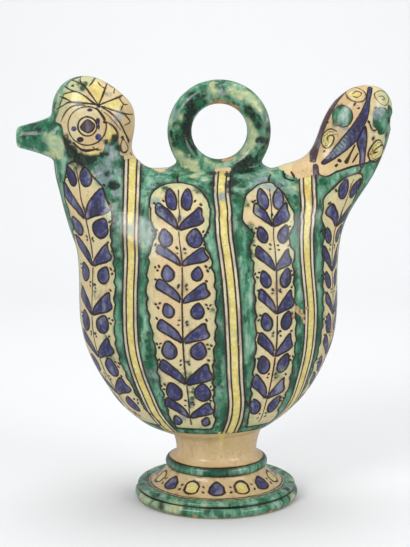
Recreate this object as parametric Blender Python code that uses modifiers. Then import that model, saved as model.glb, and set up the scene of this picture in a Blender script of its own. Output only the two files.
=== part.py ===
"""Bird-shaped jug of glazed earthenware: a cockerel on a turned foot, with a ring handle on its back.

The jug is one fired piece. Body, head and tail are hollow and open into each other. It is filled
through a round mouth at the back of the tail and poured through the beak. The bird looks along -X
and the foot rests on z = 0. The origin is under the middle of the whole length.
"""

import math

import bmesh
import bpy
from mathutils import Matrix

# Driving dimensions, in metres
WALL = 0.0065
BIRD_HEIGHT = 0.300
BIRD_LENGTH = 0.276
BIRD_DEPTH = 0.138
FOOT_RADIUS = 0.068
FOOT_EDGE = 0.013
FOOT_RISE = 0.050
STEM_RADIUS = 0.0335
COLLAR_RADIUS = 0.0425
COLLAR_HEIGHT = 0.0295
COLLAR_THICKNESS = 0.008
REST_WIDTH = 0.010
RING_HOLE_RADIUS = 0.022
RING_TUBE_RADIUS = 0.0102
RING_SINK = 0.0125
RING_OFFSET = 0.002
SPOUT_LENGTH = 0.0285
SPOUT_TIP_RADIUS = 0.0088
SPOUT_TAPER = 0.27
SPOUT_BORE_RADIUS = 0.0042
SPOUT_HEIGHT = 0.2505
MOUTH_RADIUS = 0.0075
MOUTH_HEIGHT = 0.264

# Free form of the bird. Each level is its height as a share of BIRD_HEIGHT, its front and its rear
# end from the foot's axis as shares of BIRD_LENGTH, and its width as a share of BIRD_DEPTH.
BODY_LEVELS = [
    (0.007, -0.098, 0.098, 0.39),
    (0.020, -0.140, 0.125, 0.52),
    (0.034, -0.178, 0.139, 0.59),
    (0.055, -0.222, 0.166, 0.67),
    (0.105, -0.284, 0.231, 0.78),
    (0.160, -0.328, 0.283, 0.87),
    (0.227, -0.373, 0.327, 0.94),
    (0.300, -0.400, 0.352, 0.985),
    (0.383, -0.409, 0.3595, 1.0),
    (0.467, -0.410, 0.359, 0.98),
    (0.533, -0.415, 0.362, 0.92),
    (0.593, -0.432, 0.373, 0.83),
    (0.647, -0.440, 0.383, 0.71),
    (0.690, -0.409, 0.355, 0.57),
    (0.720, -0.355, 0.304, 0.42),
    (0.740, -0.275, 0.232, 0.27),
    (0.751, -0.174, 0.145, 0.12),
]
HEAD_LEVELS = [
    (0.517, -0.406, -0.181, 0.43),
    (0.573, -0.430, -0.181, 0.48),
    (0.633, -0.449, -0.170, 0.49),
    (0.687, -0.463, -0.167, 0.47),
    (0.727, -0.4745, -0.170, 0.435),
    (0.753, -0.478, -0.207, 0.405),
    (0.777, -0.4795, -0.236, 0.385),
    (0.803, -0.482, -0.253, 0.37),
    (0.840, -0.484, -0.244, 0.36),
    (0.887, -0.4845, -0.239, 0.355),
    (0.923, -0.4825, -0.248, 0.325),
    (0.953, -0.472, -0.278, 0.28),
    (0.977, -0.453, -0.312, 0.225),
    (0.993, -0.424, -0.346, 0.155),
    (1.000, -0.398, -0.368, 0.08),
]
TAIL_LEVELS = [
    (0.517, 0.163, 0.355, 0.41),
    (0.573, 0.160, 0.369, 0.435),
    (0.627, 0.152, 0.390, 0.45),
    (0.673, 0.145, 0.420, 0.435),
    (0.710, 0.145, 0.447, 0.40),
    (0.737, 0.156, 0.466, 0.36),
    (0.757, 0.181, 0.4765, 0.31),
    (0.768, 0.225, 0.482, 0.285),
    (0.781, 0.255, 0.488, 0.275),
    (0.804, 0.277, 0.4975, 0.27),
    (0.840, 0.293, 0.5075, 0.268),
    (0.883, 0.309, 0.5155, 0.26),
    (0.923, 0.333, 0.514, 0.235),
    (0.950, 0.362, 0.502, 0.19),
    (0.967, 0.391, 0.484, 0.13),
    (0.975, 0.417, 0.462, 0.065),
]

# Fineness of the round shapes: points round a level and steps between two levels, on the skin and
# in the hollow, and steps round the foot, the ring, its tube and the bores
SKIN_FINENESS = (28, 2)
HOLLOW_FINENESS = (20, 1)
TURN_STEPS = 36
RING_STEPS = 32
TUBE_STEPS = 12
BORE_STEPS = 16

# Places that follow from the dimensions
TAIL_REACH = BIRD_LENGTH * max(level[2] for level in TAIL_LEVELS)
HEAD_REACH = -BIRD_LENGTH * min(level[1] for level in HEAD_LEVELS)
AXIS_X = (HEAD_REACH + SPOUT_LENGTH - TAIL_REACH) / 2
HEAD_FRONT_X = AXIS_X - HEAD_REACH
TAIL_REAR_X = AXIS_X + TAIL_REACH
BACK_HEIGHT = FOOT_RISE + BIRD_HEIGHT * BODY_LEVELS[-1][0]
RING_MAJOR_RADIUS = RING_HOLE_RADIUS + RING_TUBE_RADIUS
RING_HEIGHT = BACK_HEIGHT - RING_SINK + RING_MAJOR_RADIUS + RING_TUBE_RADIUS


def make_collection(name):
    """A new collection under the scene."""
    collection = bpy.data.collections.new(name)
    bpy.context.scene.collection.children.link(collection)
    return collection


def glazed_earthenware():
    """The tin-glazed surface, in its middle green."""
    material = bpy.data.materials.new("glazed earthenware")
    material.use_nodes = True
    shader = material.node_tree.nodes["Principled BSDF"]
    shader.inputs["Base Color"].default_value = (0.18, 0.40, 0.27, 1.0)
    shader.inputs["Roughness"].default_value = 0.28
    shader.inputs["Metallic"].default_value = 0.0
    material.diffuse_color = (0.18, 0.40, 0.27, 1.0)
    return material


def object_from(name, bm, collection):
    """Closes a bmesh into an object whose faces point outwards."""
    bmesh.ops.recalc_face_normals(bm, faces=bm.faces[:])
    mesh = bpy.data.meshes.new(name)
    bm.to_mesh(mesh)
    bm.free()
    mesh.shade_smooth()
    mesh.set_sharp_from_angle(angle=math.radians(40))
    new = bpy.data.objects.new(name, mesh)
    collection.objects.link(new)
    return new


def as_cutter(new):
    """Marks an object as a helper that only Booleans use."""
    new.hide_render = True
    new.display_type = "WIRE"
    return new


def smoothed(levels, between):
    """Levels along a smooth curve through the given ones, with some added between each two."""
    padded = [levels[0], *levels, levels[-1]]
    curve = []
    for before, start, end, after in zip(padded, padded[1:], padded[2:], padded[3:]):
        for step in range(between):
            t = step / between
            weights = (
                (-t + 2 * t**2 - t**3) / 2,
                (2 - 5 * t**2 + 3 * t**3) / 2,
                (t + 4 * t**2 - 3 * t**3) / 2,
                (-(t**2) + t**3) / 2,
            )
            points = zip(before, start, end, after)
            curve.append(tuple(sum(w * p for w, p in zip(weights, point)) for point in points))
    curve.append(levels[-1])
    return curve


def level_ring(bm, level, segments):
    """One oval level of the bird at its real size and place, as the list of its edges."""
    height, front, rear, width = level
    middle = AXIS_X + BIRD_LENGTH * (front + rear) / 2
    size = (BIRD_LENGTH * (rear - front) / 2, BIRD_DEPTH * width / 2, 1, 1)
    place = Matrix.Translation((middle, 0, FOOT_RISE + BIRD_HEIGHT * height))
    ring = bmesh.ops.create_circle(
        bm, segments=segments, radius=1, matrix=place @ Matrix.Diagonal(size)
    )
    return list({edge for vert in ring["verts"] for edge in vert.link_edges})


def lofted(levels, fineness=SKIN_FINENESS):
    """A closed skin over the levels, as a bmesh."""
    bm = bmesh.new()
    segments, between = fineness
    rings = [level_ring(bm, level, segments) for level in smoothed(levels, between)]
    for lower, upper in zip(rings, rings[1:]):
        bmesh.ops.bridge_loops(bm, edges=lower + upper)
    for end in (rings[0], rings[-1]):
        bmesh.ops.contextual_create(bm, geom=end)
    bmesh.ops.recalc_face_normals(bm, faces=bm.faces[:])
    return bm


def hollow_of(levels):
    """The same skin drawn in by one wall, as a bmesh."""
    bm = lofted(levels, HOLLOW_FINENESS)
    bm.normal_update()
    inward = [(vert, vert.co - vert.normal * WALL) for vert in bm.verts]
    for vert, place in inward:
        vert.co = place
    return bm


def arc(centre, reach, start, end, steps):
    """Points of a profile along an elliptical arc, angles in degrees from the +X side."""
    points = []
    for step in range(steps + 1):
        angle = math.radians(start + (end - start) * step / steps)
        points.append((centre[0] + reach[0] * math.cos(angle), centre[1] + reach[1] * math.sin(angle)))
    return points


def turned(name, profile, collection):
    """A profile of radius and height, turned about the foot's axis."""
    bm = bmesh.new()
    verts = [bm.verts.new((radius, 0, height)) for radius, height in profile]
    for first, second in zip(verts, verts[1:]):
        bm.edges.new((first, second))
    mesh = bpy.data.meshes.new(name)
    bm.to_mesh(mesh)
    bm.free()
    new = bpy.data.objects.new(name, mesh)
    new.location.x = AXIS_X
    collection.objects.link(new)
    screw = new.modifiers.new("turned", "SCREW")
    screw.steps = TURN_STEPS
    screw.render_steps = TURN_STEPS
    screw.use_merge_vertices = True
    screw.merge_threshold = 0.0001
    return new


def foot_profile():
    """The outer side of the pedestal foot, top to bottom, and back up inside its hollow."""
    top = FOOT_RISE + 2 * WALL
    inner_top = FOOT_RISE - WALL / 2
    flare = STEM_RADIUS + 0.003
    half_edge = FOOT_EDGE / 2
    rest_inner = FOOT_RADIUS - 0.0025 - REST_WIDTH
    stem = [
        (0, top),
        (flare, top),
        (flare, FOOT_RISE + 0.004),
        (STEM_RADIUS + 0.0008, FOOT_RISE),
        (STEM_RADIUS, FOOT_RISE - 0.006),
        (STEM_RADIUS + 0.0012, COLLAR_HEIGHT + 1.4 * COLLAR_THICKNESS),
    ]
    collar_core = COLLAR_RADIUS - COLLAR_THICKNESS / 2
    collar = arc((collar_core, COLLAR_HEIGHT), (COLLAR_THICKNESS / 2, COLLAR_THICKNESS / 2), 75, -55, 6)
    shoulder = [
        (COLLAR_RADIUS - 0.0005, COLLAR_HEIGHT - 0.6 * COLLAR_THICKNESS),
        (COLLAR_RADIUS + 0.3 * (FOOT_RADIUS - COLLAR_RADIUS), FOOT_EDGE + 0.005),
        (FOOT_RADIUS - 0.013, FOOT_EDGE + 0.0008),
    ]
    upper_rim = arc((FOOT_RADIUS - 0.007, FOOT_EDGE - 0.0025), (0.0045, 0.003), 90, -20, 4)
    lower_rim = arc((FOOT_RADIUS - 0.005, half_edge - 0.0015), (0.005, half_edge - 0.0015), 60, -75, 6)
    hollow = [
        (FOOT_RADIUS - 0.0025, 0),
        (rest_inner, 0),
        (rest_inner - 0.002, 0.003),
        (COLLAR_RADIUS, FOOT_EDGE - 0.003),
        (COLLAR_RADIUS - WALL, FOOT_EDGE + 0.002),
        (STEM_RADIUS - WALL, COLLAR_HEIGHT - 0.003),
        (STEM_RADIUS - WALL - 0.001, inner_top - 0.006),
        (STEM_RADIUS - 2 * WALL, inner_top - 0.001),
        (0, inner_top),
    ]
    return stem + collar + shoulder + upper_rim + lower_rim + hollow


def ring_handle(name, collection):
    """The ring on the back, a torus that stands along the bird, sunk a little into it."""
    bm = bmesh.new()
    middle = (AXIS_X + RING_OFFSET, 0, RING_HEIGHT)
    start = Matrix.Translation((middle[0] + RING_MAJOR_RADIUS, 0, RING_HEIGHT))
    tube = bmesh.ops.create_circle(bm, segments=TUBE_STEPS, radius=RING_TUBE_RADIUS, matrix=start @ Matrix.Rotation(0, 4, "X"))
    edges = list({edge for vert in tube["verts"] for edge in vert.link_edges})
    bmesh.ops.spin(
        bm,
        geom=tube["verts"] + edges,
        cent=middle,
        axis=(0, 1, 0),
        angle=math.tau,
        steps=RING_STEPS,
        use_merge=True,
    )
    return object_from(name, bm, collection)


def along_x(name, radius, start_x, end_x, height, collection, end_radius=None):
    """A round bar or cone that lies along X at one height, from one x to another."""
    bm = bmesh.new()
    middle = Matrix.Translation(((start_x + end_x) / 2, 0, height))
    bmesh.ops.create_cone(
        bm,
        cap_ends=True,
        segments=BORE_STEPS,
        radius1=radius,
        radius2=radius if end_radius is None else end_radius,
        depth=end_x - start_x,
        matrix=middle @ Matrix.Rotation(math.radians(90), 4, "Y"),
    )
    return object_from(name, bm, collection)


def spout(name, collection):
    """The beak, a cone that widens from its tip into the head."""
    tip_x = HEAD_FRONT_X - SPOUT_LENGTH
    root_x = HEAD_FRONT_X + 2 * WALL
    root_radius = SPOUT_TIP_RADIUS + SPOUT_TAPER * (root_x - tip_x)
    height = FOOT_RISE + SPOUT_HEIGHT
    return along_x(name, SPOUT_TIP_RADIUS, tip_x, root_x, height, collection, root_radius)


def combine(base, others, operation):
    """Adds or takes away each of the other objects, in turn."""
    for other in others:
        as_cutter(other)
        boolean = base.modifiers.new(other.name, "BOOLEAN")
        boolean.operation = operation
        boolean.solver = "EXACT"
        boolean.object = other


for old in list(bpy.data.objects):
    bpy.data.objects.remove(old, do_unlink=True)

jug_collection = make_collection("bird jug")
helpers = make_collection("helpers")

jug = object_from("jug", lofted(BODY_LEVELS), jug_collection)
jug.data.materials.append(glazed_earthenware())

added = [
    object_from("head form", lofted(HEAD_LEVELS), helpers),
    object_from("tail form", lofted(TAIL_LEVELS), helpers),
    turned("foot form", foot_profile(), helpers),
    ring_handle("ring form", helpers),
    spout("beak form", helpers),
]
combine(jug, added, "UNION")

spout_z = FOOT_RISE + SPOUT_HEIGHT
mouth_z = FOOT_RISE + MOUTH_HEIGHT
taken = [
    object_from("body hollow", hollow_of(BODY_LEVELS), helpers),
    object_from("head hollow", hollow_of(HEAD_LEVELS), helpers),
    object_from("tail hollow", hollow_of(TAIL_LEVELS), helpers),
    along_x("beak bore", SPOUT_BORE_RADIUS, HEAD_FRONT_X - SPOUT_LENGTH - WALL, HEAD_FRONT_X + 3 * WALL, spout_z, helpers),
    along_x("tail mouth", MOUTH_RADIUS, TAIL_REAR_X - 3 * WALL, TAIL_REAR_X + WALL, mouth_z, helpers),
]
combine(jug, taken, "DIFFERENCE")
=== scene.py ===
import math

import bmesh
import bpy
import numpy as np
from mathutils import Matrix, Vector, noise
from mathutils.bvhtree import BVHTree


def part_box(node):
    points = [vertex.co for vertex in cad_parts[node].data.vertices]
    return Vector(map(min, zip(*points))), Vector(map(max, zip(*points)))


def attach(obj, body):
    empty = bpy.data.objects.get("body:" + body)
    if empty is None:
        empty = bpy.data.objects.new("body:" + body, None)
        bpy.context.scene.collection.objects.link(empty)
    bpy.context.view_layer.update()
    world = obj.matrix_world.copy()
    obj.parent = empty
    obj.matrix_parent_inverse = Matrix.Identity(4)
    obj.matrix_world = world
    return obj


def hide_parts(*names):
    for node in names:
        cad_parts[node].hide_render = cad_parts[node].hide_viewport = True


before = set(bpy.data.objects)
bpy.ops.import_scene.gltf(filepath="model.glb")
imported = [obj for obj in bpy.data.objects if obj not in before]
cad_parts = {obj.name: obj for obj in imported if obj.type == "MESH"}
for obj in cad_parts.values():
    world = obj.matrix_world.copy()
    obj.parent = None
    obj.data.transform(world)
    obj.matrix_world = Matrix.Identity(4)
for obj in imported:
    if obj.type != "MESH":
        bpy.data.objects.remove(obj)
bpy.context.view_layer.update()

# The jug's clay
# A cockerel made as one hollow jug: body, neck, head and tail are thrown and pressed earthenware,
# luted together wet. Lengths are millimetres from the foot's axis and from the table it stands on.

MM = 0.001
low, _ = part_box("jug")
BEAK_REACH = 162.3
AXIS_X = low[0] / MM + BEAK_REACH
FOOT_RISE = 50.0
BIRD_HEIGHT = 300.0
BIRD_LENGTH = 276.0
BIRD_DEPTH = 137.2
WALL = 6.5
PRESSED_OUT = 0.75
LEAST_LENGTH, LEAST_WIDTH = 4.0, 3.0

# Height, front end, rear end and width of each level, as shares of the bird's three sizes
BODY_LEVELS = [
    (0.012, -0.098, 0.098, 0.39),
    (0.024, -0.140, 0.120, 0.52),
    (0.037, -0.183, 0.143, 0.60),
    (0.055, -0.227, 0.178, 0.69),
    (0.105, -0.292, 0.243, 0.80),
    (0.160, -0.333, 0.290, 0.88),
    (0.227, -0.373, 0.327, 0.94),
    (0.300, -0.400, 0.352, 0.985),
    (0.383, -0.409, 0.3595, 1.0),
    (0.467, -0.410, 0.359, 0.98),
    (0.533, -0.415, 0.362, 0.92),
    (0.593, -0.432, 0.373, 0.83),
    (0.647, -0.440, 0.383, 0.71),
    (0.690, -0.409, 0.355, 0.57),
    (0.720, -0.355, 0.304, 0.42),
    (0.740, -0.275, 0.232, 0.27),
    (0.751, -0.174, 0.145, 0.12),
]
HEAD_LEVELS = [
    (0.517, -0.406, -0.181, 0.43),
    (0.573, -0.430, -0.181, 0.48),
    (0.633, -0.449, -0.170, 0.49),
    (0.687, -0.463, -0.167, 0.47),
    (0.727, -0.4745, -0.170, 0.435),
    (0.753, -0.478, -0.207, 0.405),
    (0.777, -0.4795, -0.236, 0.385),
    (0.803, -0.482, -0.253, 0.37),
    (0.840, -0.484, -0.244, 0.36),
    (0.887, -0.4845, -0.239, 0.355),
    (0.923, -0.4825, -0.248, 0.325),
    (0.953, -0.472, -0.278, 0.28),
    (0.977, -0.453, -0.312, 0.225),
    (0.993, -0.424, -0.346, 0.155),
    (1.000, -0.398, -0.368, 0.08),
]
TAIL_LEVELS = [
    (0.517, 0.163, 0.355, 0.41),
    (0.573, 0.160, 0.369, 0.435),
    (0.627, 0.152, 0.390, 0.45),
    (0.673, 0.145, 0.420, 0.435),
    (0.710, 0.145, 0.447, 0.40),
    (0.737, 0.156, 0.466, 0.36),
    (0.757, 0.181, 0.4765, 0.31),
    (0.768, 0.225, 0.482, 0.285),
    (0.781, 0.255, 0.488, 0.275),
    (0.804, 0.277, 0.4975, 0.27),
    (0.840, 0.293, 0.5075, 0.268),
    (0.883, 0.309, 0.5155, 0.26),
    (0.923, 0.333, 0.514, 0.235),
    (0.950, 0.362, 0.502, 0.19),
    (0.967, 0.391, 0.484, 0.13),
    (0.975, 0.417, 0.462, 0.065),
]


def smooth(path, between):
    """A smooth curve through the rows of a path, its first and last row left out."""
    curve = []
    for before, start, end, after in zip(path, path[1:], path[2:], path[3:]):
        for t in np.arange(between) / between:
            curve.append(
                before * (-t + 2 * t**2 - t**3) / 2
                + start * (2 - 5 * t**2 + 3 * t**3) / 2
                + end * (t + 4 * t**2 - 3 * t**3) / 2
                + after * (t**3 - t**2) / 2
            )
    return np.array([*curve, path[-2]])


def smooth_levels(levels, between):
    """The levels in millimetres, with more between them along a smooth curve."""
    sizes = np.array([BIRD_HEIGHT, BIRD_LENGTH, BIRD_LENGTH, BIRD_DEPTH])
    return smooth(np.array([levels[0], *levels, levels[-1]]) * sizes + (FOOT_RISE, 0, 0, 0), between)


def ring_edges(made):
    """The edges of a circle that was just made."""
    return list({edge for vert in made["verts"] for edge in vert.link_edges})


def add_loft(bm, levels, segments, between, inset=0.0):
    """A closed skin over oval levels, drawn in by inset all round."""
    rings = []
    skin = smooth_levels(levels, between)
    bottom = skin[0, 0] + inset
    lift = (skin[-1, 0] - inset - bottom) / (skin[-1, 0] - skin[0, 0])
    for height, front, rear, width in skin:
        length = max(rear - front - 2 * inset, LEAST_LENGTH)
        width = max(width - 2 * inset, LEAST_WIDTH)
        place = Matrix.Translation((AXIS_X + (front + rear) / 2, 0, bottom + lift * (height - skin[0, 0])))
        place @= Matrix.Diagonal((length / 2, width / 2, 1, 1))
        rings.append(ring_edges(bmesh.ops.create_circle(bm, segments=segments, radius=1, matrix=place)))
    for lower, upper in zip(rings, rings[1:]):
        bmesh.ops.bridge_loops(bm, edges=lower + upper)
    for end in (rings[0], rings[-1]):
        bmesh.ops.contextual_create(bm, geom=end)


def to_object(bm, name):
    """Ends a bmesh in millimetres as an object in metres with its faces outwards."""
    bmesh.ops.recalc_face_normals(bm, faces=bm.faces[:])
    bmesh.ops.scale(bm, vec=(MM, MM, MM), verts=bm.verts[:])
    mesh = bpy.data.meshes.new(name)
    bm.to_mesh(mesh)
    bm.free()
    made = bpy.data.objects.new(name, mesh)
    bpy.context.collection.objects.link(made)
    return made


def finished(made, *steps):
    """Adds the modifiers named in steps to an object and keeps their result as its mesh."""
    for kind, settings in steps:
        modifier = made.modifiers.new(kind, kind)
        for name, value in settings.items():
            setattr(modifier, name, value)
    graph = bpy.context.evaluated_depsgraph_get()
    mesh = bpy.data.meshes.new_from_object(made.evaluated_get(graph))
    made.modifiers.clear()
    made.data = mesh
    return made


def absorb(bm, other):
    """Moves another object's mesh into a bmesh in millimetres and removes that object."""
    other.data.transform(Matrix.Scale(1 / MM, 4))
    bm.from_mesh(other.data)
    bpy.data.objects.remove(other)


bird = bmesh.new()
for levels in (BODY_LEVELS, HEAD_LEVELS, TAIL_LEVELS):
    add_loft(bird, levels, segments=96, between=6)
clay = finished(
    to_object(bird, "clay"),
    ("REMESH", {"mode": "VOXEL", "voxel_size": 2.6 * MM}),
    ("SMOOTH", {"factor": 0.5, "iterations": 24}),
    ("DISPLACE", {"strength": PRESSED_OUT * MM, "mid_level": 0.0}),
)

# The foot
# A pedestal turned on the wheel and luted under the body: a waisted stem, a bead or collar, a
# sloping shoulder and a disc with a groove between two rims.

STEM_RADIUS = 33.5
COLLAR_RADIUS = 42.5
COLLAR_HEIGHT = 30.5
FOOT_RADIUS = 68.0
ROLL = 5.1
SHOULDER_RADIUS = 55.0
SHOULDER_HEIGHT = 13.4
REST_INNER = 55.5


def turned_arc(centre, reach, start, end, steps):
    """Radius and height of points on an oval arc, its angles in degrees from the outside."""
    angles = np.radians(np.linspace(start, end, steps))
    return [(centre[0] + reach[0] * math.cos(a), centre[1] + reach[1] * math.sin(a)) for a in angles]


def add_spun(bm, geom, centre, axis, steps):
    """A full turn of some points and edges about an axis."""
    bmesh.ops.spin(bm, geom=geom, cent=centre, axis=axis, angle=math.tau, steps=steps, use_merge=True)


def add_turned(bm, profile, centre, axis, steps):
    """A closed turned piece from the points of its profile."""
    verts = [bm.verts.new(point) for point in profile]
    edges = [bm.edges.new(pair) for pair in zip(verts, verts[1:])]
    add_spun(bm, verts + edges, centre, axis, steps)
    bmesh.ops.remove_doubles(bm, verts=bm.verts[:], dist=0.01)


foot_profile = [
    (0, 70),
    (34, 70),
    (38.5, 63),
    (37.2, 58.5),
    (35.6, 54),
    (34.3, 49),
    (STEM_RADIUS, 44),
    (STEM_RADIUS - 0.2, 40.4),
    (34.2, 38),
    (36.4, 36.2),
    *turned_arc((COLLAR_RADIUS - 3.9, COLLAR_HEIGHT), (3.9, 4.4), 78, -52, 12),
    (41.3, 25.9),
    (42.8, 23.4),
    (45.4, 20.2),
    (49.6, 16.6),
    (SHOULDER_RADIUS, SHOULDER_HEIGHT),
    (57.6, 12.9),
    *turned_arc((61.6, 10.9), (4.3, 2.5), 112, -52, 12),
    *turned_arc((FOOT_RADIUS - ROLL, 4.7), (ROLL, 4.3), 66, -46, 12),
    (66.4, 0.4),
    (65.6, 0),
    (REST_INNER, 0),
    (REST_INNER - 2, 3),
    (42.5, 10),
    (36, 15),
    (27, 26.5),
    (26, 40.8),
    (20.5, 45.8),
    (0, 46.8),
]
foot = bmesh.new()
points = [(AXIS_X + radius, 0, height) for radius, height in foot_profile]
add_turned(foot, points, (AXIS_X, 0, 0), (0, 0, 1), 180)

# The ring handle
# A rolled coil of the same earthenware, bent into a ring. It stands lengthwise on the back and is luted
# there with a pat of wet clay on either side.

RING_BACK = 2.0
RING_X = AXIS_X + RING_BACK
RING_Z = 305.2
RING_MAJOR = 32.2
RING_TUBE = 10.2
PAT_AWAY, PAT_HEIGHT = 32.5, 273.5
PAT_SIZE = (9.5, 9, 5.2)


def add_ring(bm, centre, major, tube):
    """A torus that stands along the bird."""
    start = Matrix.Translation((centre[0] + major, 0, centre[2]))
    made = bmesh.ops.create_circle(bm, segments=40, radius=tube, matrix=start)
    add_spun(bm, made["verts"] + ring_edges(made), centre, (0, 1, 0), 96)


def add_blob(bm, centre, size):
    """A pat of clay pressed over a joint."""
    place = Matrix.Translation(centre) @ Matrix.Diagonal((*size, 1))
    bmesh.ops.create_uvsphere(bm, u_segments=24, v_segments=16, radius=1, matrix=place)


handle = bmesh.new()
add_ring(handle, (RING_X, 0, RING_Z), RING_MAJOR, RING_TUBE)
for side in (-1, 1):
    add_blob(handle, (RING_X + side * PAT_AWAY, 0, PAT_HEIGHT), PAT_SIZE)

# The beak
# A short cone of earthenware, rolled round a stick that leaves its bore, and luted to the front of the
# head. Its tip is cut square and wiped round.

BEAK_Z = 300.5
BEAK_TIP = 8.9
BEAK_ROOT = 17.2
HEAD_FRONT = -133.8

beak = bmesh.new()
beak_profile = [
    (0, -BEAK_REACH),
    (6.6, -BEAK_REACH),
    (8.3, -BEAK_REACH + 0.7),
    (BEAK_TIP, -BEAK_REACH + 2.2),
    (13.3, -144.0),
    (BEAK_ROOT, HEAD_FRONT),
    (19.4, HEAD_FRONT + 6),
    (0, HEAD_FRONT + 14),
]
points = [(AXIS_X + x, 0, BEAK_Z + radius) for radius, x in beak_profile]
add_turned(beak, points, (0, 0, BEAK_Z), (1, 0, 0), 64)

# Luting
# The parts are pressed together with wet clay, which rounds every joint, and the hand leaves the
# skin a little uneven. The foot is luted last, so its joint under the body stays a clean line.

whole = bmesh.new()
absorb(whole, clay)
for name, part in (("handle", handle), ("beak", beak)):
    absorb(whole, to_object(part, name))
jug = finished(
    to_object(whole, "jug_glazed"),
    ("REMESH", {"mode": "VOXEL", "voxel_size": 1.8 * MM}),
    ("SMOOTH", {"factor": 0.5, "iterations": 4}),
)
UNEVEN = 0.45
BROAD_SWELL, SMALL_SWELL = 55.0, 19.0


def read_vectors(items, name):
    """One vector property of every item, as an array with a row for each."""
    flat = np.empty(len(items) * 3)
    items.foreach_get(name, flat)
    return flat.reshape(-1, 3)


places = read_vectors(jug.data.vertices, "co")
outward = read_vectors(jug.data.vertex_normals, "vector")
broad = np.array([noise.noise(Vector(p) / (BROAD_SWELL * MM)) for p in places])
small = np.array([noise.noise(Vector(p) / (SMALL_SWELL * MM)) for p in places])
places += outward * (UNEVEN * MM * (broad + 0.4 * small - 0.8))[:, None]
jug.data.vertices.foreach_set("co", places.ravel())

# The hollow
# The jug's inside, left as bare clay: the wall follows the skin at an even thickness. The beak's bore
# and the filling mouth behind the tail are cut through while the clay is firm.

BORE_RADIUS = 4.2
MOUTH_RADIUS = 7.5
MOUTH_HEIGHT = 314.0
TAIL_REAR = 142.3


def add_bar(bm, radii, start, end, height):
    """A round bar along the bird, from one distance behind the foot's axis to another."""
    place = Matrix.Translation((AXIS_X + (start + end) / 2, 0, height))
    place @= Matrix.Rotation(math.radians(90), 4, "Y")
    first, last = radii
    bmesh.ops.create_cone(
        bm, cap_ends=True, segments=40, radius1=first, radius2=last, depth=end - start, matrix=place
    )


hollow = bmesh.new()
for levels in (BODY_LEVELS, HEAD_LEVELS, TAIL_LEVELS):
    add_loft(hollow, levels, segments=40, between=2, inset=WALL)
add_bar(hollow, (BORE_RADIUS, BORE_RADIUS), -BEAK_REACH - 5, HEAD_FRONT + 15, BEAK_Z)
add_bar(hollow, (BORE_RADIUS + 2.6, BORE_RADIUS), -BEAK_REACH - 2, -BEAK_REACH + 2.4, BEAK_Z)
add_bar(hollow, (MOUTH_RADIUS, MOUTH_RADIUS), TAIL_REAR - 25, TAIL_REAR + 5, MOUTH_HEIGHT)
inside = finished(
    to_object(hollow, "inside"),
    ("REMESH", {"mode": "VOXEL", "voxel_size": 2.4 * MM}),
    ("SMOOTH", {"factor": 0.5, "iterations": 3}),
    ("DECIMATE", {"ratio": 0.3}),
)
finished(jug, ("BOOLEAN", {"operation": "UNION", "solver": "MANIFOLD", "object": to_object(foot, "foot")}))
bpy.data.objects.remove(bpy.data.objects["foot"])
skin_points = (read_vectors(jug.data.vertices, "co") / MM).tolist()
skin_tree = BVHTree.FromPolygons(skin_points, [tuple(face.vertices) for face in jug.data.polygons])
finished(jug, ("BOOLEAN", {"operation": "DIFFERENCE", "solver": "MANIFOLD", "object": inside}))
bpy.data.objects.remove(inside)

# The drawing
# The potter draws in manganese brown over the pale slip: seven leaf panels round the body with striped
# bands between, an eye and a crest on the head, scrolls on the tail. Places are millimetres from the
# foot's axis, or degrees round the body, 0 at the tail and 90 on the side that shows.

SHOULDER_TOP = 266.0
SHOULDER = (232.0, 244.0)
NECK_HALF = 26.0
# Above the shoulder the bird is read from the side: heights, and there its middle and half length
NECK_LEVELS = (240.0, 280.0)
NECK_MIDDLE = (-8.0, 2.0)
NECK_REACH = (113.7, 131.0)
BRUSH = 1.1
body_skin = smooth_levels(BODY_LEVELS, 6)


def body_oval(height):
    """The middle, half length and half width of the body at a height."""
    height = np.minimum(height, SHOULDER_TOP)
    front, rear, width = (np.interp(height, body_skin[:, 0], body_skin[:, k]) for k in (1, 2, 3))
    return (front + rear) / 2, (rear - front) / 2, width / 2


def on_body(turn, height):
    """The point of the skin at so many degrees round the body and at a height."""
    middle, length, width = body_oval(height)
    angle = math.radians(turn)
    way = Vector((length * math.cos(angle), -width * math.sin(angle), 0)).normalized()
    hit = skin_tree.ray_cast(Vector((AXIS_X + middle, 0, height)), way)[0]
    return hit or Vector((AXIS_X + middle, 0, height)) + way * width


def on_side(x, height, side=-1):
    """The point of the skin seen straight from one side."""
    hit = skin_tree.ray_cast(Vector((AXIS_X + x, side * 200, height)), Vector((0, -side, 0)))[0]
    return hit or skin_tree.find_nearest(Vector((AXIS_X + x, side * 2, height)))[0]


def shoulder_oval(height):
    """The middle and half length of the bird, beak left out, where it narrows to neck and tail."""
    return np.interp(height, NECK_LEVELS, NECK_MIDDLE), np.interp(height, NECK_LEVELS, NECK_REACH)


def above_shoulder(height):
    """From 0 below the shoulder, where places go round the body, to 1 above, where they go sideways."""
    return np.interp(height, SHOULDER, (0, 1))


def swept(controls, closed=False, between=6):
    """Rows along a smooth curve through a few rows of controls."""
    rows = np.array(controls, float)
    ends = (rows[-1], rows[0], rows[1]) if closed else (rows[0], rows[-1])
    return smooth(np.vstack((ends[0], rows, *ends[1:])), between)


ink = []
areas = {"blue": [], "yellow": [], "green": [], "violet": []}
# The smear marks are milky glaze, and high on the shoulders also painted highlights
spots = {"pool": [], "deep": [], "smear_and_highlight": [], "pale": [], "wear": []}
hand = np.random.default_rng(7)


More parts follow.
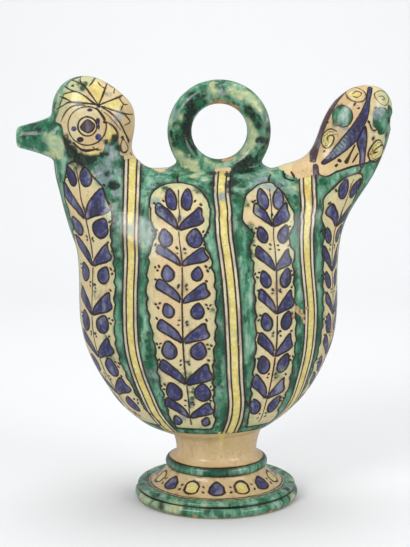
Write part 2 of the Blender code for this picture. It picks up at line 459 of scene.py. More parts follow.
def stroke(place, controls, width=0.6, closed=False, taper=(0.75, 0.6), between=6):
    """One brush line through points, width being half its thickness, with its ends tapered."""
    width *= BRUSH
    path = swept(controls, closed, between)
    share = np.linspace(0, 1, len(path))
    press = np.ones(len(path))
    if not closed:
        press = np.interp(share, (0, 0.25, 0.7, 1), (taper[0], 1, 1, taper[1]))
    press *= 1 + 0.16 * np.sin(share * 9 + hand.uniform(0, 6))
    ink.append((np.array([place(u, v) for u, v in path]), width * press))


def wash(place, outline, colour):
    """Colour laid inside a closed outline."""
    areas[colour].append(np.array([place(u, v) for u, v in outline]))


def shape(place, controls, colour=None, width=0.6):
    """A closed outline, and the colour washed in it."""
    if width:
        stroke(place, controls, width, closed=True)
    if colour:
        wash(place, swept(controls, True), colour)


def dot(place, u, v, size=0.6):
    """A touch of the brush's tip."""
    size *= BRUSH
    lean = hand.uniform(-0.5, 0.5)
    ink.append((np.array([place(u - 0.3, v - lean), place(u + 0.3, v + lean)]), np.array([size, size])))


def oval(u, v, across, up, lean=0.0, points=8, peak=0.0):
    """Controls for an oval that leans by some degrees, its upper end drawn out by peak."""
    rows = []
    for angle in np.linspace(0, math.tau, points, endpoint=False):
        x, y = across * math.sin(angle), (up + (peak if angle == 0 else 0)) * math.cos(angle)
        tip = math.radians(lean)
        rows.append((u + x * math.cos(tip) + y * math.sin(tip), v + y * math.cos(tip) - x * math.sin(tip)))
    return rows


def mark(place, kinds):
    """Marks in the glaze, by kind: two numbers for the place of each, its size and its strength."""
    for kind, marks in kinds.items():
        spots[kind] += [(place(u, v), size, power) for u, v, size, power in marks]


# Each panel: height and degrees along its stem, left edge and right edge, the heights of its leaf
# pairs, and its top
PANELS = [
    (
        [
            (74, 148), (92, 154), (156, 152), (205, 149.5), (226, 148.5), (239, 148), (252, 150.6),
            (268, 150.5), (283, 151.8),
        ],
        [
            (68, 170), (110, 173), (204, 173), (222, 167), (231, 161), (238, 164), (245, 167.5),
            (252.5, 170.6), (262.5, 167.6), (273, 161),
        ],
        [
            (68, 131), (92, 133), (137, 135), (184, 134), (213, 133.8), (223, 134), (230, 133),
            (239, 131.5), (248, 132.6), (256.4, 134.5), (264, 136.2), (271, 140.5),
        ],
        [93, 124, 160, 200, 237],
        283,
    ),
    (
        [(74, 102), (92, 101), (232, 101), (250, 102), (270, 104.2)],
        [
            (69, 114), (104, 115), (139, 114), (175, 117), (204, 116), (221, 113.5), (227, 111),
            (240, 113.4), (251, 114.1), (258, 113.7), (262.4, 111.5),
        ],
        [
            (69, 87), (103, 88), (126, 88), (157, 87), (188, 87), (212, 89), (224, 91.5), (232, 89.5),
            (240, 89.3), (251, 90.6), (258, 93.3), (262.4, 95.7),
        ],
        [80, 109, 144, 176, 205, 232],
        266.5,
    ),
    (
        [(76, 52), (94, 57), (131, 59), (200, 60), (226, 62), (238, 63), (267, 70.3)],
        [
            (70, 60), (92, 66), (108, 68), (156, 69.5), (207, 71), (219, 73), (227, 70.5), (237, 75),
            (247, 77), (257, 77.5), (262, 75.5),
        ],
        [
            (70, 35), (84, 41), (103, 44), (122, 47), (157, 49), (202, 51), (214, 51), (223, 54.5),
            (234, 53), (243, 53.6), (249, 57.3), (258.5, 62.5), (262.6, 66),
        ],
        [95, 131, 166, 200, 234],
        266.5,
    ),
    (
        [(70, 4), (120, 15), (170, 18), (216, 22), (231, 23), (244, 21.1), (264, 28.1), (273, 27.5)],
        [
            (70, 17), (100, 25), (140, 29), (173, 30), (204, 30), (219, 32.5), (226, 30.5), (236, 36),
            (244, 37.6), (254, 41.7), (262, 39.3), (269, 35.6),
        ],
        [(70, -8), (120, 3), (170, 5), (216, 9), (226, 13), (233, 12.6), (253, 14.5), (265, 19)],
        [92, 124, 158, 194, 230],
        273,
    ),
]
for middle, half, top in ((-32, 14, 267), (-92, 14.5, 267), (-151, 15.5, 280)):
    spread = [(69, 0.72), (110, 0.95), (170, 1), (214, 0.97), (224, 0.8), (238, 0.93), (254, 0.72)]
    PANELS.append(
        (
            [(70, middle), (top, middle)],
            [(height, middle + half * share) for height, share in spread],
            [(height, middle - half * share) for height, share in spread],
            [94, 126, 160, 196, top - 35],
            top,
        )
    )

# Each band: height and degrees of its middle line
BANDS = [
    [
        (60, 124), (71, 125), (111, 126), (177, 125.5), (200, 124.7), (226, 122.8), (244, 121.9),
        (290, 122.2),
    ],
    [
        (60, 71.5), (78, 72.5), (110, 77), (143, 79), (190, 80.5), (226, 82.8), (243, 83.9), (262, 87.2),
        (290, 89),
    ],
    [
        (60, 21), (79, 27), (107, 35), (138, 38.5), (174, 40), (226, 44.5), (243, 46.2), (262, 52.6),
        (276, 56.5),
    ],
    [(60, -10), (276, -4)],
    [(60, -61), (226, -61), (243, -60), (262, -62), (276, -64)],
    [(60, -122), (226, -122), (243, -121.5), (290, -122)],
    [(60, -179), (300, -179)],
]


def round_body(turn, height):
    """How many millimetres along the body's own oval one degree of turn is."""
    middle, length, width = body_oval(height)
    angle = np.radians(turn)
    return np.hypot(length * np.sin(angle), width * np.cos(angle)) * math.pi / 180


def per_degree(turn, height):
    """How many millimetres one degree of turn is, round the body or sideways above the shoulder."""
    angle = np.radians(turn)
    sideways = np.hypot(shoulder_oval(height)[1] * np.sin(angle), NECK_HALF * np.cos(angle)) * math.pi / 180
    share = above_shoulder(height)
    return round_body(turn, height) * (1 - share) + sideways * share


def turn_at(line, height):
    """The degrees of a line of heights and degrees, at a height."""
    heights, turns = zip(*line)
    return np.interp(height, heights, turns)


def on_panel(stem):
    """Places millimetres right of a stem, and a height, on the skin."""

    def place(right, height):
        turn = turn_at(stem, height)
        turn -= right / per_degree(turn, height)
        spot = on_body(turn, min(height, SHOULDER[1]))
        share = float(above_shoulder(height))
        if share > 0:
            middle, length = shoulder_oval(height)
            x = middle + length * math.cos(math.radians(turn))
            side = -1 if math.sin(math.radians(turn)) > 0 else 1
            spot = spot.lerp(on_side(x, height, side), share)
        return spot

    return place


ARCH_WIDE, ARCH_LOW = 0.62, 0.3
SCALLOP = 0.7
ARCH_START = 240.0
PANEL_FOOT = 70.0


def panel_edge(panel):
    """The outline of a panel as millimetres from its stem and heights, scalloped below its arch."""
    stem, left, right, pairs, top = panel
    rows = []
    for line in (left, right[::-1]):
        for height, turn in line:
            middle = turn_at(stem, height)
            rows.append(((middle - turn) * per_degree(middle, height), height))
        if line is left:
            height, turn = right[-1]
            middle = turn_at(stem, height)
            across = (middle - turn) * per_degree(middle, height)
            rows.append((ARCH_WIDE * rows[-1][0], top - ARCH_LOW * (top - rows[-1][1])))
            rows.append((0, top))
            rows.append((ARCH_WIDE * across, top - ARCH_LOW * (top - height)))
    edge = swept(rows, True, 18)
    wave = np.sin(edge[:, 1] / 2.1 + 2 * np.sign(edge[:, 0])) + 0.6 * np.sin(edge[:, 1] / 1.13)
    edge[:, 0] += SCALLOP * wave * np.clip((ARCH_START - edge[:, 1]) / 12, 0, 1)
    edge[:, 1] = np.maximum(edge[:, 1], PANEL_FOOT)
    return edge


# One leaf of each pair, its twin and the three dots beside them, in millimetres from the stem
LEAF_REACH = 23.5
PAIR_STEP = 33.0
EDGE_LINE, LEAF_LINE, STEM_LINE = 0.74, 0.7, 0.6
LEAF = [
    (0.4, 0.4), (6.9, 2.3), (13.6, 4.4), (16.9, 7.6), (15, 12.2), (13.6, 17.6), (6.4, 11), (1.2, 4.6),
]
TWIN = [
    (-0.6, 0.8), (-4.8, 3.2), (-10.4, 7.4), (-15.6, 11), (-17, 14), (-14.6, 19.6), (-9, 15.6),
    (-3.2, 9),
]
TRIPLET = [(0, 0), (3.2, -0.7), (1.3, -3.4)]

panel_edges = []
for panel in PANELS:
    stem, left, right, pairs, top = panel
    place = on_panel(swept(stem))
    edge = panel_edge(panel)
    panel_edges.append((stem, edge))
    ink.append((np.array([place(u, v) for u, v in edge]), np.full(len(edge), EDGE_LINE)))
    stroke(place, [(0.2, top), (-0.2, top + 3), (0.3, top + 5.5)], 0.8, taper=(1.2, 0.4))
    half = np.ptp(edge[:, 0]) / 2
    reach = half / LEAF_REACH
    swaying = [(hand.uniform(-0.6, 0.6), height) for height in pairs]
    stroke(place, [(0, 74), *swaying, (0, top - 5)], STEM_LINE, between=10)
    for number, height in enumerate(pairs):
        above = pairs[number + 1] if number + 1 < len(pairs) else max(height + 34, top - 8)
        grow = 1.5 if top > 275 and height == pairs[-1] else min((above - height) / PAIR_STEP, 1.12)
        for side, leaf in ((1, LEAF), (-1, TWIN)):
            tip = hand.uniform(0.9, 1.06)
            drop = hand.uniform(-0.8, 0.8)
            points = [(u * reach * tip, height + (v + drop * abs(u) / 12) * grow * tip) for u, v in leaf]
            shape(place, points, "blue", LEAF_LINE)
            dot(place, leaf[4][0] * reach * tip, height + 18.6 * grow * tip + 1, 0.85)
            lean = side * hand.uniform(8, 24)
            cramped = height < 86
            size = hand.uniform(0.86, 1.1) * min(grow, 1.1) * (0.62 if cramped else 1)
            sink = 3.4 if cramped else 6.6
            wide, tall = 4.9 * size * reach, 6.3 * size
            round_leaf = oval(side * 9.4 * reach, height - sink, wide, tall, lean, peak=1.8)
            shape(place, round_leaf, "blue", LEAF_LINE)
            if cramped:
                continue
            for u, v in TRIPLET:
                dot(place, side * (15.2 * reach + u), height - 0.5 + v + hand.uniform(-0.5, 0.5), 0.85)
            dot(place, side * 3.0, height - 14 + hand.uniform(-1, 1), 0.85)
            dot(place, side * 3.4, height - 17 + hand.uniform(-1, 1), 0.75)
            if side == 1 and hand.uniform() < 0.5:
                wash(place, oval(1.2, height - 15, 1.4, 1.7), "blue")
    slim = min(half / 21, 1)
    for side in (-1, 1):
        shape(place, oval(side * 6.2 * slim, top - 12.6, 4.3 * slim, 7.2, side * 9, peak=1.5), "blue", 0.66)
        dot(place, side * 12.5 * slim, top - 13, 0.85)
    wash(place, oval(0.6, pairs[-1] + 9, 1.2, 2.6), "blue")

# On either side of the head: an eye in two rings, a crest of ribs and twigs behind it with petals
# washed in honey yellow, and a green collar, beak root and rim
EYE = (-103.0, 311.0)
for side in (-1, 1):

    def face(u, v):
        return on_side(EYE[0] + u, EYE[1] + v, side)

    stroke(face, oval(0, 0, 7.6, 7.6, points=12), 0.62, closed=True)
    stroke(face, oval(-0.3, 0.3, 15.4, 15.2, points=16), 0.5, closed=True)
    shape(face, [
        (-5.6, -1), (-2.6, 3.4), (0.2, 5.6), (4.2, 3), (6, 0.4), (3.6, -3.8), (0.4, -5), (-3, -3.4),
    ], "violet", 0.5)
    stroke(face, [(-21.7, 3), (-18.1, 10.3), (-12.2, 15.6), (-4.9, 16.9), (1.6, 15.7), (7.6, 14.3)], 0.55)
    stroke(face, [(-11.2, -13.3), (-5.6, -17.9), (-0.3, -19.2), (8.2, -17.6)], 0.95)
    stroke(face, [(4.3, -16.2), (6.9, -18.6), (10.2, -18.6)], 0.5)
    stroke(face, [(7.2, 14.3), (11.2, 9.6), (14.1, 3.6)], 0.85)
    # The crest spreads from one knot behind the eye, each rib with a twig near its end
    knot = (8.8, 16.6)
    for rib, twig in (
        (
            [(3.3, 24.2), (-2, 30.8), (-5.9, 34.8), (-6.4, 38.2)],
            [(-2, 30.8), (-6.9, 33.8), (-12.8, 35.8)],
        ),
        (
            [(4.3, 18.9), (-2.3, 23.9), (-10.2, 27.2), (-19.4, 24.9)],
            [(-10.2, 27.2), (-14.5, 28.7), (-18.8, 31)],
        ),
        (
            [(1, 17.9), (-14.1, 18.8), (-19.4, 16.2), (-25.3, 12.9)],
            [(-13.2, 19.2), (-16.8, 21.2), (-22.7, 23)],
        ),
        (
            [(11.8, 23.5), (13.8, 29.5), (15.1, 33.8)],
            [(12.5, 29.8), (9.9, 31.8), (7.7, 34.5)],
        ),
        (
            [(16.8, 19.6), (24.7, 22.5), (27.8, 24.2)],
            [(24.7, 21.9), (28.3, 16.9), (31.4, 16.4)],
        ),
        (
            [(17.4, 13.6), (28.6, 9.6), (35.5, 8.3)],
            [(29, 9), (31.3, 6.3), (33.4, 2.7), (29.6, 0.3)],
        ),
    ):
        stroke(face, [knot, *rib], 0.68)
        stroke(face, twig, 0.62)
    stroke(face, [(15.1, 33.5), (17.8, 30.5), (20.7, 29.2), (20.4, 25.5)], 0.6)
    stroke(face, [(28.3, 16.9), (27, 14.3), (26.1, 11.9)], 0.5)
    stroke(face, [(5.3, 37.4), (3.3, 33.8), (1, 31.4)], 0.62)
    stroke(face, [knot, (18.8, 10.3), (26.0, 1.7), (32.2, -12.9)], 0.72, taper=(0.5, 1.5))
    stroke(face, [(9.5, 13.4), (16, 9), (21.8, 2.6), (26.4, -3.4)], 0.34)
    stroke(face, [(14.8, 3.6), (20.1, 0.3), (23.7, -5.6), (23.4, -10.3)], 0.68)
    stroke(face, [
        (28, -9.4), (25.9, -16.2), (27, -20.6), (29.6, -21.5), (31.6, -18.2), (28.2, -10),
    ], 0.62)
    for u, v, size in (
        (27.4, -9.2, 1), (33.9, -23.5, 0.9), (-12, 31.6, 1), (9, 16.4, 1.4), (13.8, 3.4, 1),
    ):
        dot(face, u, v, size)
    for petal in (
        [(-19.4, 23.9), (-10.9, 26.2), (-2.3, 22.9), (2.3, 18.9), (-6.9, 19.6), (-14.1, 19.6)],
        [(1, 31.2), (6.9, 35.1), (12.2, 28.8), (8.9, 18.2), (4.3, 24.9)],
        [(11.5, 15.9), (24, 21.2), (27.3, 16.9), (25.7, 12.3), (17.4, 13.9)],
        [(15.8, 2.7), (20.7, -1.3), (23.2, -8.3), (19.4, -13.6), (16.1, -12.3), (15.1, -4.3)],
        [(-6.3, -19.2), (8.9, -18.6), (8.2, -21.2), (1.6, -23.4), (-4.3, -21.2)],
    ):
        shape(face, petal, "yellow", 0)
    for u, v, across, up in (
        (8.4, 4.6, 1.8, 2.6), (8.8, -0.4, 1.3, 2.4), (8.6, -8.3, 2.6, 2.7), (-10.9, -2, 2.4, 2.1),
    ):
        shape(face, oval(u, v, across, up), "blue", 0)
    shape(face, oval(2.0, 13.0, 2.3, 1.4), "blue", 0)
    shape(face, oval(-5.9, -10.6, 2.3, 1.8), "blue", 0.5)
    shape(face, [
        (-20, -3), (-17.5, -12), (-10, -18.8), (-4, -22.4), (4, -24), (11.5, -21), (14, -13), (17, -9),
        (23.5, -10), (25, -19), (23.5, -26.5), (0, -27.5), (-20, -27), (-19.5, -22), (-18.6, -14),
    ], "green", 0)
    shape(face, [
        (-30, 3), (-24, 2.5), (-20.6, 0), (-19.8, -6), (-19, -14), (-19, -24), (-30, -30), (-36, -20),
        (-34, -5),
    ], "green", 0)
    shape(face, [
        (-28.8, 6.3), (-28.3, 19.6), (-23, 29.4), (-15.1, 37), (-5.6, 40.6), (0.3, 40.6), (-5, 38.4),
        (-14.5, 34.4), (-21.9, 26.6), (-25.8, 18.2), (-26.6, 8),
    ], "green", 0)
    mark(face, {
        "pool": [
            (-18, -9, 3.6, 1.3), (-15.5, -14, 3.6, 1.4), (-11.5, -18.8, 3.4, 1.4), (-7, -23.5, 3.6, 1.4),
            (-1, -26, 3.8, 1.4), (6, -26, 3.6, 1.3), (11.5, -22.5, 3.2, 1.2), (-15, -22, 4.5, 1),
            (-6, -30, 4.5, 0.9), (21.5, -9.5, 3, 1.4), (14.4, -12, 2.2, 1.2), (24, -18, 3.5, 1.1),
            (18.5, -13.5, 2.2, 1.1), (15.6, -22, 2, 0.9), (21, -29, 3, 1), (15.5, -37, 3.4, 1.2),
            (20.5, -46, 3.6, 1.4), (-45, 0, 4, 1), (-51, -9, 3.6, 1.1), (-40, -4, 3, 1.1),
            (-46, -7, 3, 1.1), (13.8, 29.5, 2, 0.8),
        ],
        "deep": [
            (3, -33, 5, 1), (12, -30, 6, 1), (-12, -32, 6, 0.8), (-50, -3, 6, 1.3), (-43, -8, 6, 1.3),
            (-37, 1, 5, 1.3), (-31, -2, 4, 1.1), (-4, 29.6, 3.6, 1.1), (-2.4, 33.4, 2.6, 0.9),
            (16.5, 25.6, 3.4, 0.75), (23.4, 6, 3.6, 0.6), (-9, 34, 3, 0.6),
        ],
        "smear_and_highlight": [
            (-19.4, -2, 2.2, 1), (-18.6, 3, 1.8, 0.6), (17.5, -17, 3.6, 1.3), (20, -23, 4.4, 1.3),
            (16.5, -28, 4.5, 1), (9, -36, 6, 0.9), (13, -41, 5.5, 1.1), (23, -35, 5, 0.8),
            (24, 7, 3.6, 1.2), (17, 25, 3.2, 0.9),
        ],
        "pale": [
            (-54, -6, 3, 0.5), (-34, -10, 4.5, 0.75), (-29, -9, 4, 0.5), (-25, -13, 5, 1.2),
            (-21.5, -17, 4, 1), (-27, -20, 5, 1.3), (-23.5, -24, 4, 1.2), (-31, -24, 4, 1.2),
            (-24, 5, 3, 0.9), (-25, 14, 4, 0.9), (-23, 22, 4, 0.9), (-18, 29, 4, 0.9),
            (-11, 34, 3.6, 0.9), (-3, 36.5, 3, 0.8),
        ],
    })

    def plume(x, height):
        return on_side(x, height, side)

    # On the tail: a blue blade and its root, a dark front edge, scrolls, and blots of green and yellow
    shape(plume, [
        (121.1, 340.5), (118.9, 330.7), (115.3, 322.8), (108.8, 312.4), (100.3, 301.3), (88.7, 286.7),
        (83.9, 281.8), (86.8, 280.7), (96.6, 286.7), (105.2, 293.4), (113.1, 301.3), (116.8, 309.9),
        (120.4, 318.5), (122, 330.7), (124.2, 339.9),
    ], "blue", 0.55)
    shape(plume, [
        (117.7, 310.5), (112.8, 301.3), (112.2, 296.4), (114.5, 288.5), (114.6, 278.7), (117.9, 278.7),
        (118.9, 289.1), (119.7, 300.1), (119.2, 307.5),
    ], "blue", 0.6)
    stroke(plume, [(111, 297.4), (107.6, 290.3), (103.6, 282.4)], 0.75, taper=(0.4, 2.6))
    stroke(plume, [(112.8, 289.1), (110.7, 285.4), (108.5, 281.8)], 0.7)
    shape(plume, [
        (79.2, 281.6), (80.2, 284.5), (83.6, 296.4), (86.6, 306.4), (91.4, 318.6), (97.2, 329),
        (104.2, 337.6), (102.4, 340.4), (91.0, 332.5), (84.0, 320.9), (79.4, 307.6), (75.8, 296),
        (74.6, 284), (75.2, 281.6),
    ], "violet", 0)
    for step in range(10):
        x, height = 91.5 + 1.9 * step, 287.6 + 2.2 * step
        stroke(plume, [(x - 1.2, height + 1.4), (x + 2.2, height - 1.8)], 0.24)
    stroke(plume, [(53.4, 274.3), (54.5, 269.7), (58, 268.2), (61.5, 267.6)], 0.85)
    stroke(plume, [(59.6, 274), (62.3, 270)], 0.85)
    shape(plume, oval(111.3, 335.2, 8.0, 5.4, lean=12), None, 0.42)
    shape(plume, oval(110.0, 334.6, 4.6, 3.0, lean=12), "yellow", 0)
    stroke(plume, [(109, 334), (112.5, 333.4), (115.8, 336.4), (112, 338), (108.6, 336)], 0.42)
    shape(plume, [
        (125.6, 335.6), (130.2, 338.2), (135.1, 336.8), (138, 330.7), (134.5, 326.6), (129, 330.1),
    ], None, 0.38)
    stroke(plume, [(129.6, 334.1), (133.3, 333.8), (134, 331.2), (132.1, 331.6)], 0.4)
    stroke(plume, [
        (95.7, 306.5), (91.1, 308.2), (86.5, 305), (84.1, 298.9), (85.6, 294), (89.3, 293.1),
        (92.6, 297.1), (93.6, 302.0), (90.8, 303.2), (88.4, 300.7), (89.3, 298.6),
    ], 0.55)
    shape(plume, oval(89.2, 300.4, 4.5, 7.0, lean=14), "yellow", 0)
    stroke(plume, [
        (133, 295.5), (130.8, 299.2), (126.6, 298), (121.4, 289.7), (122.6, 283.9), (125.9, 281.5),
        (130.2, 283), (133.6, 289.1), (133.4, 294.9), (127.2, 291.9), (125.6, 288.8), (129.3, 289.7),
    ], 0.66)
    shape(plume, oval(127.4, 290.2, 5.4, 7.8, lean=10), "yellow", 0)
    shape(plume, oval(100.4, 318.4, 8.0, 8.6, lean=10), "green", 0.36)
    shape(plume, [
        (124.5, 318), (127, 324.5), (133, 325.5), (137, 322), (137, 312), (135, 305), (130, 303.5),
        (127.5, 308), (124.5, 311),
    ], "green", 0)
    shape(plume, [
        (137, 327), (141.5, 322), (142, 312), (138.4, 298), (134.2, 290), (135.4, 300), (137.2, 312),
    ], "green", 0)
    stroke(plume, [(121.1, 314.2), (123.5, 308.7), (125.9, 306.9), (128.4, 308.7)], 0.55)
    for x, height, size in (
        (98.1, 283.3, 1.4), (95.6, 279.6, 1.1), (109.8, 328, 0.9), (112.8, 324.9, 0.9),
        (126.6, 325.4, 0.7), (125, 300.7, 0.9), (86.2, 290.3, 0.8), (89, 313, 0.8), (121.1, 314, 0.9),
    ):
        dot(plume, x, height, size)
    stroke(plume, [
        (80.5, 274.5), (82, 272.6), (86.4, 270.8), (90.5, 272), (95.1, 274.4), (102.3, 276.8),
        (109.5, 278.8), (118.3, 280.6), (126.3, 282.8), (133, 286),
    ], 0.72)
    shape(plume, [(76.8, 279.6), (81.2, 279.6), (81.2, 269.4), (77.2, 269.6)], "violet", 0)
    mark(plume, {
        "pool": [
            (98, 326, 3.5, 0.8), (94.5, 330, 2.6, 0.9), (138.5, 315, 3, 1), (138, 324, 3, 0.9),
            (136, 303, 3, 0.8),
        ],
        "deep": [(95, 313, 4, 0.9), (131, 307, 4, 0.9), (85, 267, 4, 1), (104, 271, 5, 0.6)],
        "smear_and_highlight": [
            (103, 310, 3, 1.1), (100.5, 319, 3.5, 0.7), (98, 306, 3.5, 0.6), (128.5, 320, 4.6, 1.3),
            (132, 322.5, 3.6, 1.1), (97, 292, 3.4, 1.5), (101.5, 297.5, 3.4, 1.5),
            (92.5, 287.5, 2.4, 1.2), (105, 302, 2.6, 1),
        ],
        "pale": [(131, 293, 3.5, 0.5)],
    })

# The foot carries drops in blue and yellow by turns, pairs of dots between them, and a line round each
# moulding
SLOPE = [(42.8, 23.4), (45.4, 20.2), (49.6, 16.6), (SHOULDER_RADIUS, SHOULDER_HEIGHT), (57.6, 12.9)]
BAND_RADIUS = 47.6


def on_shoulder(turn):
    """Places millimetres right of a turn and up the slope of the foot's shoulder, on the skin."""
    radii, heights = zip(*SLOPE)

    def place(right, rise):
        radius = BAND_RADIUS - 0.78 * rise
        angle = math.radians(turn - math.degrees(right / radius))
        height = float(np.interp(radius, radii, heights))
        return Vector((AXIS_X + radius * math.cos(angle), -radius * math.sin(angle), height))

    return place


def circle_line(radius, height, width):
    """A brush line held against the turning foot."""
    angles = np.linspace(0, math.tau, 97)
    points = np.stack((AXIS_X + radius * np.cos(angles), -radius * np.sin(angles), np.full(97, height)), 1)
    ink.append((points, np.full(97, width) * (1 + 0.25 * np.sin(angles * 5 + 1))))


for radius, height, width in ((40, 34.6, 0.9), (41.9, 27.2, 0.8), (55.2, 13.3, 0.55), (65, 9, 0.9)):
    circle_line(radius, height, width)
DROPS = 14
for number in range(DROPS):
    turn = 90 + 360 / DROPS * number
    place = on_shoulder(turn)
    if number % 2 == 0:
        shape(place, oval(0, -0.5, 7.3, 5.0, peak=1.8), "blue", 0.8)
    else:
        shape(place, oval(0, 0.2, 6.7, 5.8, lean=hand.uniform(-8, 8)), "yellow", 0.85)
    between = on_shoulder(turn + 180 / DROPS)
    for rise in (-2.4, 1.9):
        dot(between, hand.uniform(-0.9, 0.9), rise, 1.0)

for number in range(64):
    bend = hand.uniform(0, math.tau)
    reach, height = ((67, 6), (67.2, 3), (63, 12.4), (65.6, 11), (42.6, 30))[number % 5]
    kind = ("pool", "pale", "deep", "deep", "pool", "deep", "deep")[number % 7]
    middle = Vector((AXIS_X + reach * math.cos(bend), -reach * math.sin(bend), height))
    spots[kind].append((middle, hand.uniform(2.5, 5.5), hand.uniform(0.6, 1)))
for turn in (118, 128, 138, 148, 158, -140, -20, 20):
    bend = math.radians(turn)
    spots["pale"].append((Vector((AXIS_X + 67 * math.cos(bend), -67 * math.sin(bend), 6.5)), 5, 1.1))
for x, y, height, size in (
    (-61.2, -27, 5, 1.6), (-62.5, -23, 11.5, 1.3), (-17.8, -64.9, 1.2, 2.2), (44, -49, 0.8, 2.4),
):
    spots["wear"].append((Vector((AXIS_X + x, y, height)), size, 1.5))

# The ring is dipped in green, which runs dark down one side and is rubbed off inside


def on_ring(side):
    """Places degrees round the ring from its top and shares of the tube outwards, seen from one side."""

    def place(angle, outwards):
        bend = math.radians(angle)
        reach = RING_MAJOR + outwards * RING_TUBE
        return on_side(RING_BACK + reach * math.sin(bend), RING_Z + reach * math.cos(bend), side)

    return place


ring_marks = {
    "pale": [
        (-8, 0.1, 6, 0.8), (16, 0.3, 5, 0.9), (28, 0.1, 4, 0.8), (-8, 0.7, 4, 0.6), (-80, 0.85, 4, 0.5),
        (36, 0.5, 4.5, 1.1), (48, 0.55, 4.5, 1.1), (60, 0.5, 4, 0.9), (-70, 0.1, 3, 0.8),
        (-84, 0.2, 2.6, 0.7), (-118, 0.6, 4.5, 1.2), (-130, 0.4, 5, 1.2), (-142, 0.1, 4, 0.9),
        (-150, 0.7, 4, 0.8), (88, -0.65, 4.5, 1.5), (100, -0.6, 4.8, 1.5), (114, -0.6, 4.6, 1.4),
        (126, -0.6, 4, 1.2), (70, -0.75, 4, 1.1), (-178, -0.5, 5, 0.8), (-160, -0.6, 4, 0.7),
        (150, -0.75, 3.6, 1),
    ],
    "smear_and_highlight": [(4, 0.45, 5, 0.9), (2, 0.1, 5, 0.8), (-66, 0.7, 5, 0.9)],
    "pool": [
        (-36, 0.45, 4.5, 1.1), (-48, 0.1, 4, 1.2), (-60, -0.3, 4, 1.2), (-76, -0.9, 3.6, 1.4),
        (-90, -0.95, 3.6, 1.4), (-104, -0.95, 3.6, 1.3), (-120, -0.9, 3.4, 1), (-80, -0.35, 2.6, 1),
        (-95, 0.1, 2.8, 1.1), (-92, 0.6, 3.4, 1.1), (-104, 0.5, 3.6, 1.2), (-126, 0, 3, 0.9),
        (-24, 0, 2.4, 0.9), (-4, -0.45, 3, 0.7), (52, -0.3, 3.8, 1.3), (66, -0.2, 3.6, 1.3),
        (80, -0.05, 3.4, 1.3), (101, 0.15, 3.2, 1.3), (88, 0.8, 3.8, 1.2), (102, 0.8, 4, 1.2),
        (128, 0.3, 4.5, 1.4), (140, 0.5, 5.5, 1.6), (150, 0.3, 5, 1.5),
    ],
    "deep": [
        (-72, -0.35, 4.5, 1.4), (-86, -0.3, 5, 1.4), (-100, -0.1, 5, 1.4), (-116, -0.1, 4.5, 1.2),
        (-18, 0.4, 5, 1.2), (14, -0.3, 4.5, 1), (72, 0.1, 4.5, 1.2), (116, 0.6, 5, 1.3),
        (146, -0.2, 4, 1.3),
    ],
    "wear": [
        (30, 0.85, 3.4, 0.55), (44, 0.8, 3.4, 0.5), (-14, -0.9, 4, 0.8), (-2, -0.85, 4, 1),
        (12, -0.85, 4.2, 1.1), (26, -0.85, 4.2, 1.1), (38, -0.9, 3.6, 0.9), (160, -0.85, 3.6, 0.9),
        (172, -0.9, 3.2, 0.8),
    ],
}
ring_marks["pool"] += [(angle, -0.55, 3.2, 1.15) for angle in range(-120, -45, 9)]
ring_marks["deep"] += [(angle, -0.35 + 0.2 * math.sin(angle), 4.6, 1.1) for angle in range(-128, -24, 8)]
for number in range(90):
    kind = ("pool", "pale", "deep", "deep", "smear_and_highlight", "pale")[number % 6]
    size, power = hand.uniform(1.0, 2.2), hand.uniform(0.5, 1.1)
    ring_marks[kind].append((hand.uniform(-160, 160), hand.uniform(-0.9, 0.9), size, power))
for side in (-1, 1):
    mark(on_ring(side), ring_marks)

# Runs and smears where the green pooled or washed thin, on both sides, the milky smears high on the
# shoulders being partly painted highlights; then those on the painted side alone, the chip in a panel,
# long runs down the green, a drip on the stem and small ones all round
for side in (-1, 1):

    def flank(x, height):
        return on_side(x, height, side)

    mark(flank, {
        "pool": [
            (-4.5, 273, 3.6, 1.5), (-3.5, 266, 3.4, 1.5), (10, 272, 3.8, 1.6), (10.5, 265, 3.6, 1.6),
            (-3, 261, 2.6, 1), (10.5, 259, 3, 1.2), (17, 275, 4.5, 1.6), (24, 280, 5, 1.6),
            (14, 268, 4, 1.2), (-83.5, 265.6, 2.4, 0.9), (-79.8, 264.6, 2.6, 0.9), (-83.4, 230, 2.8, 1),
            (-81, 227.6, 2.4, 0.8), (-81, 241, 1.8, 0.9),
        ],
        # Milky smears: glaze washed thin, and high on the shoulders partly painted highlights, pale
        # blue-white patches where a lamp shines back
        "smear_and_highlight": [
            (3.4, 256.5, 3.6, 1.3), (36, 269, 5, 1.2), (31, 264.5, 4, 1.1), (41, 263, 4.4, 1),
            (37, 275, 5, 0.8), (29, 258, 4, 0.8), (-50, 264, 6, 0.8), (-89, 277, 5, 1.5),
            (-86, 271, 4.4, 1.3), (-80, 258.5, 3.4, 1.7), (47, 262, 4, 1.5), (51, 266.5, 4, 1.2),
            (43, 256, 4, 1), (-48, 252, 6, 0.9), (-46, 243, 5, 0.7), (-47, 271, 4.5, 0.6),
        ],
        "deep": [
            (3.4, 259.5, 2.6, 1.4), (20, 266, 5, 1.3), (16, 256, 5, 1.2), (22, 250, 5, 0.9),
            (-25, 276, 5, 1.2), (-34, 271, 5, 1.2), (-14, 262, 5, 1), (-42, 262, 5, 0.9),
            (-80.5, 252, 3.4, 1.3), (-80.2, 246, 3.2, 1.4), (-80.6, 240, 3.2, 1.3), (-80, 234, 3.4, 1.3),
            (-92, 268, 3.4, 1.2), (-86, 264, 3, 1), (-20, 270, 3.5, 1),
        ],
        "pale": [
            (44, 273, 5, 0.6), (-13.5, 273, 3, 1.5), (-10, 269, 2.4, 1.5), (-18, 276, 3.5, 1.2),
            (-86.5, 250, 3.4, 0.9), (-85.6, 240, 3.2, 0.8), (-100, 273, 3, 0.8), (32, 250, 3.4, 0.8),
            (30, 243, 3.4, 0.8),
        ],
    })
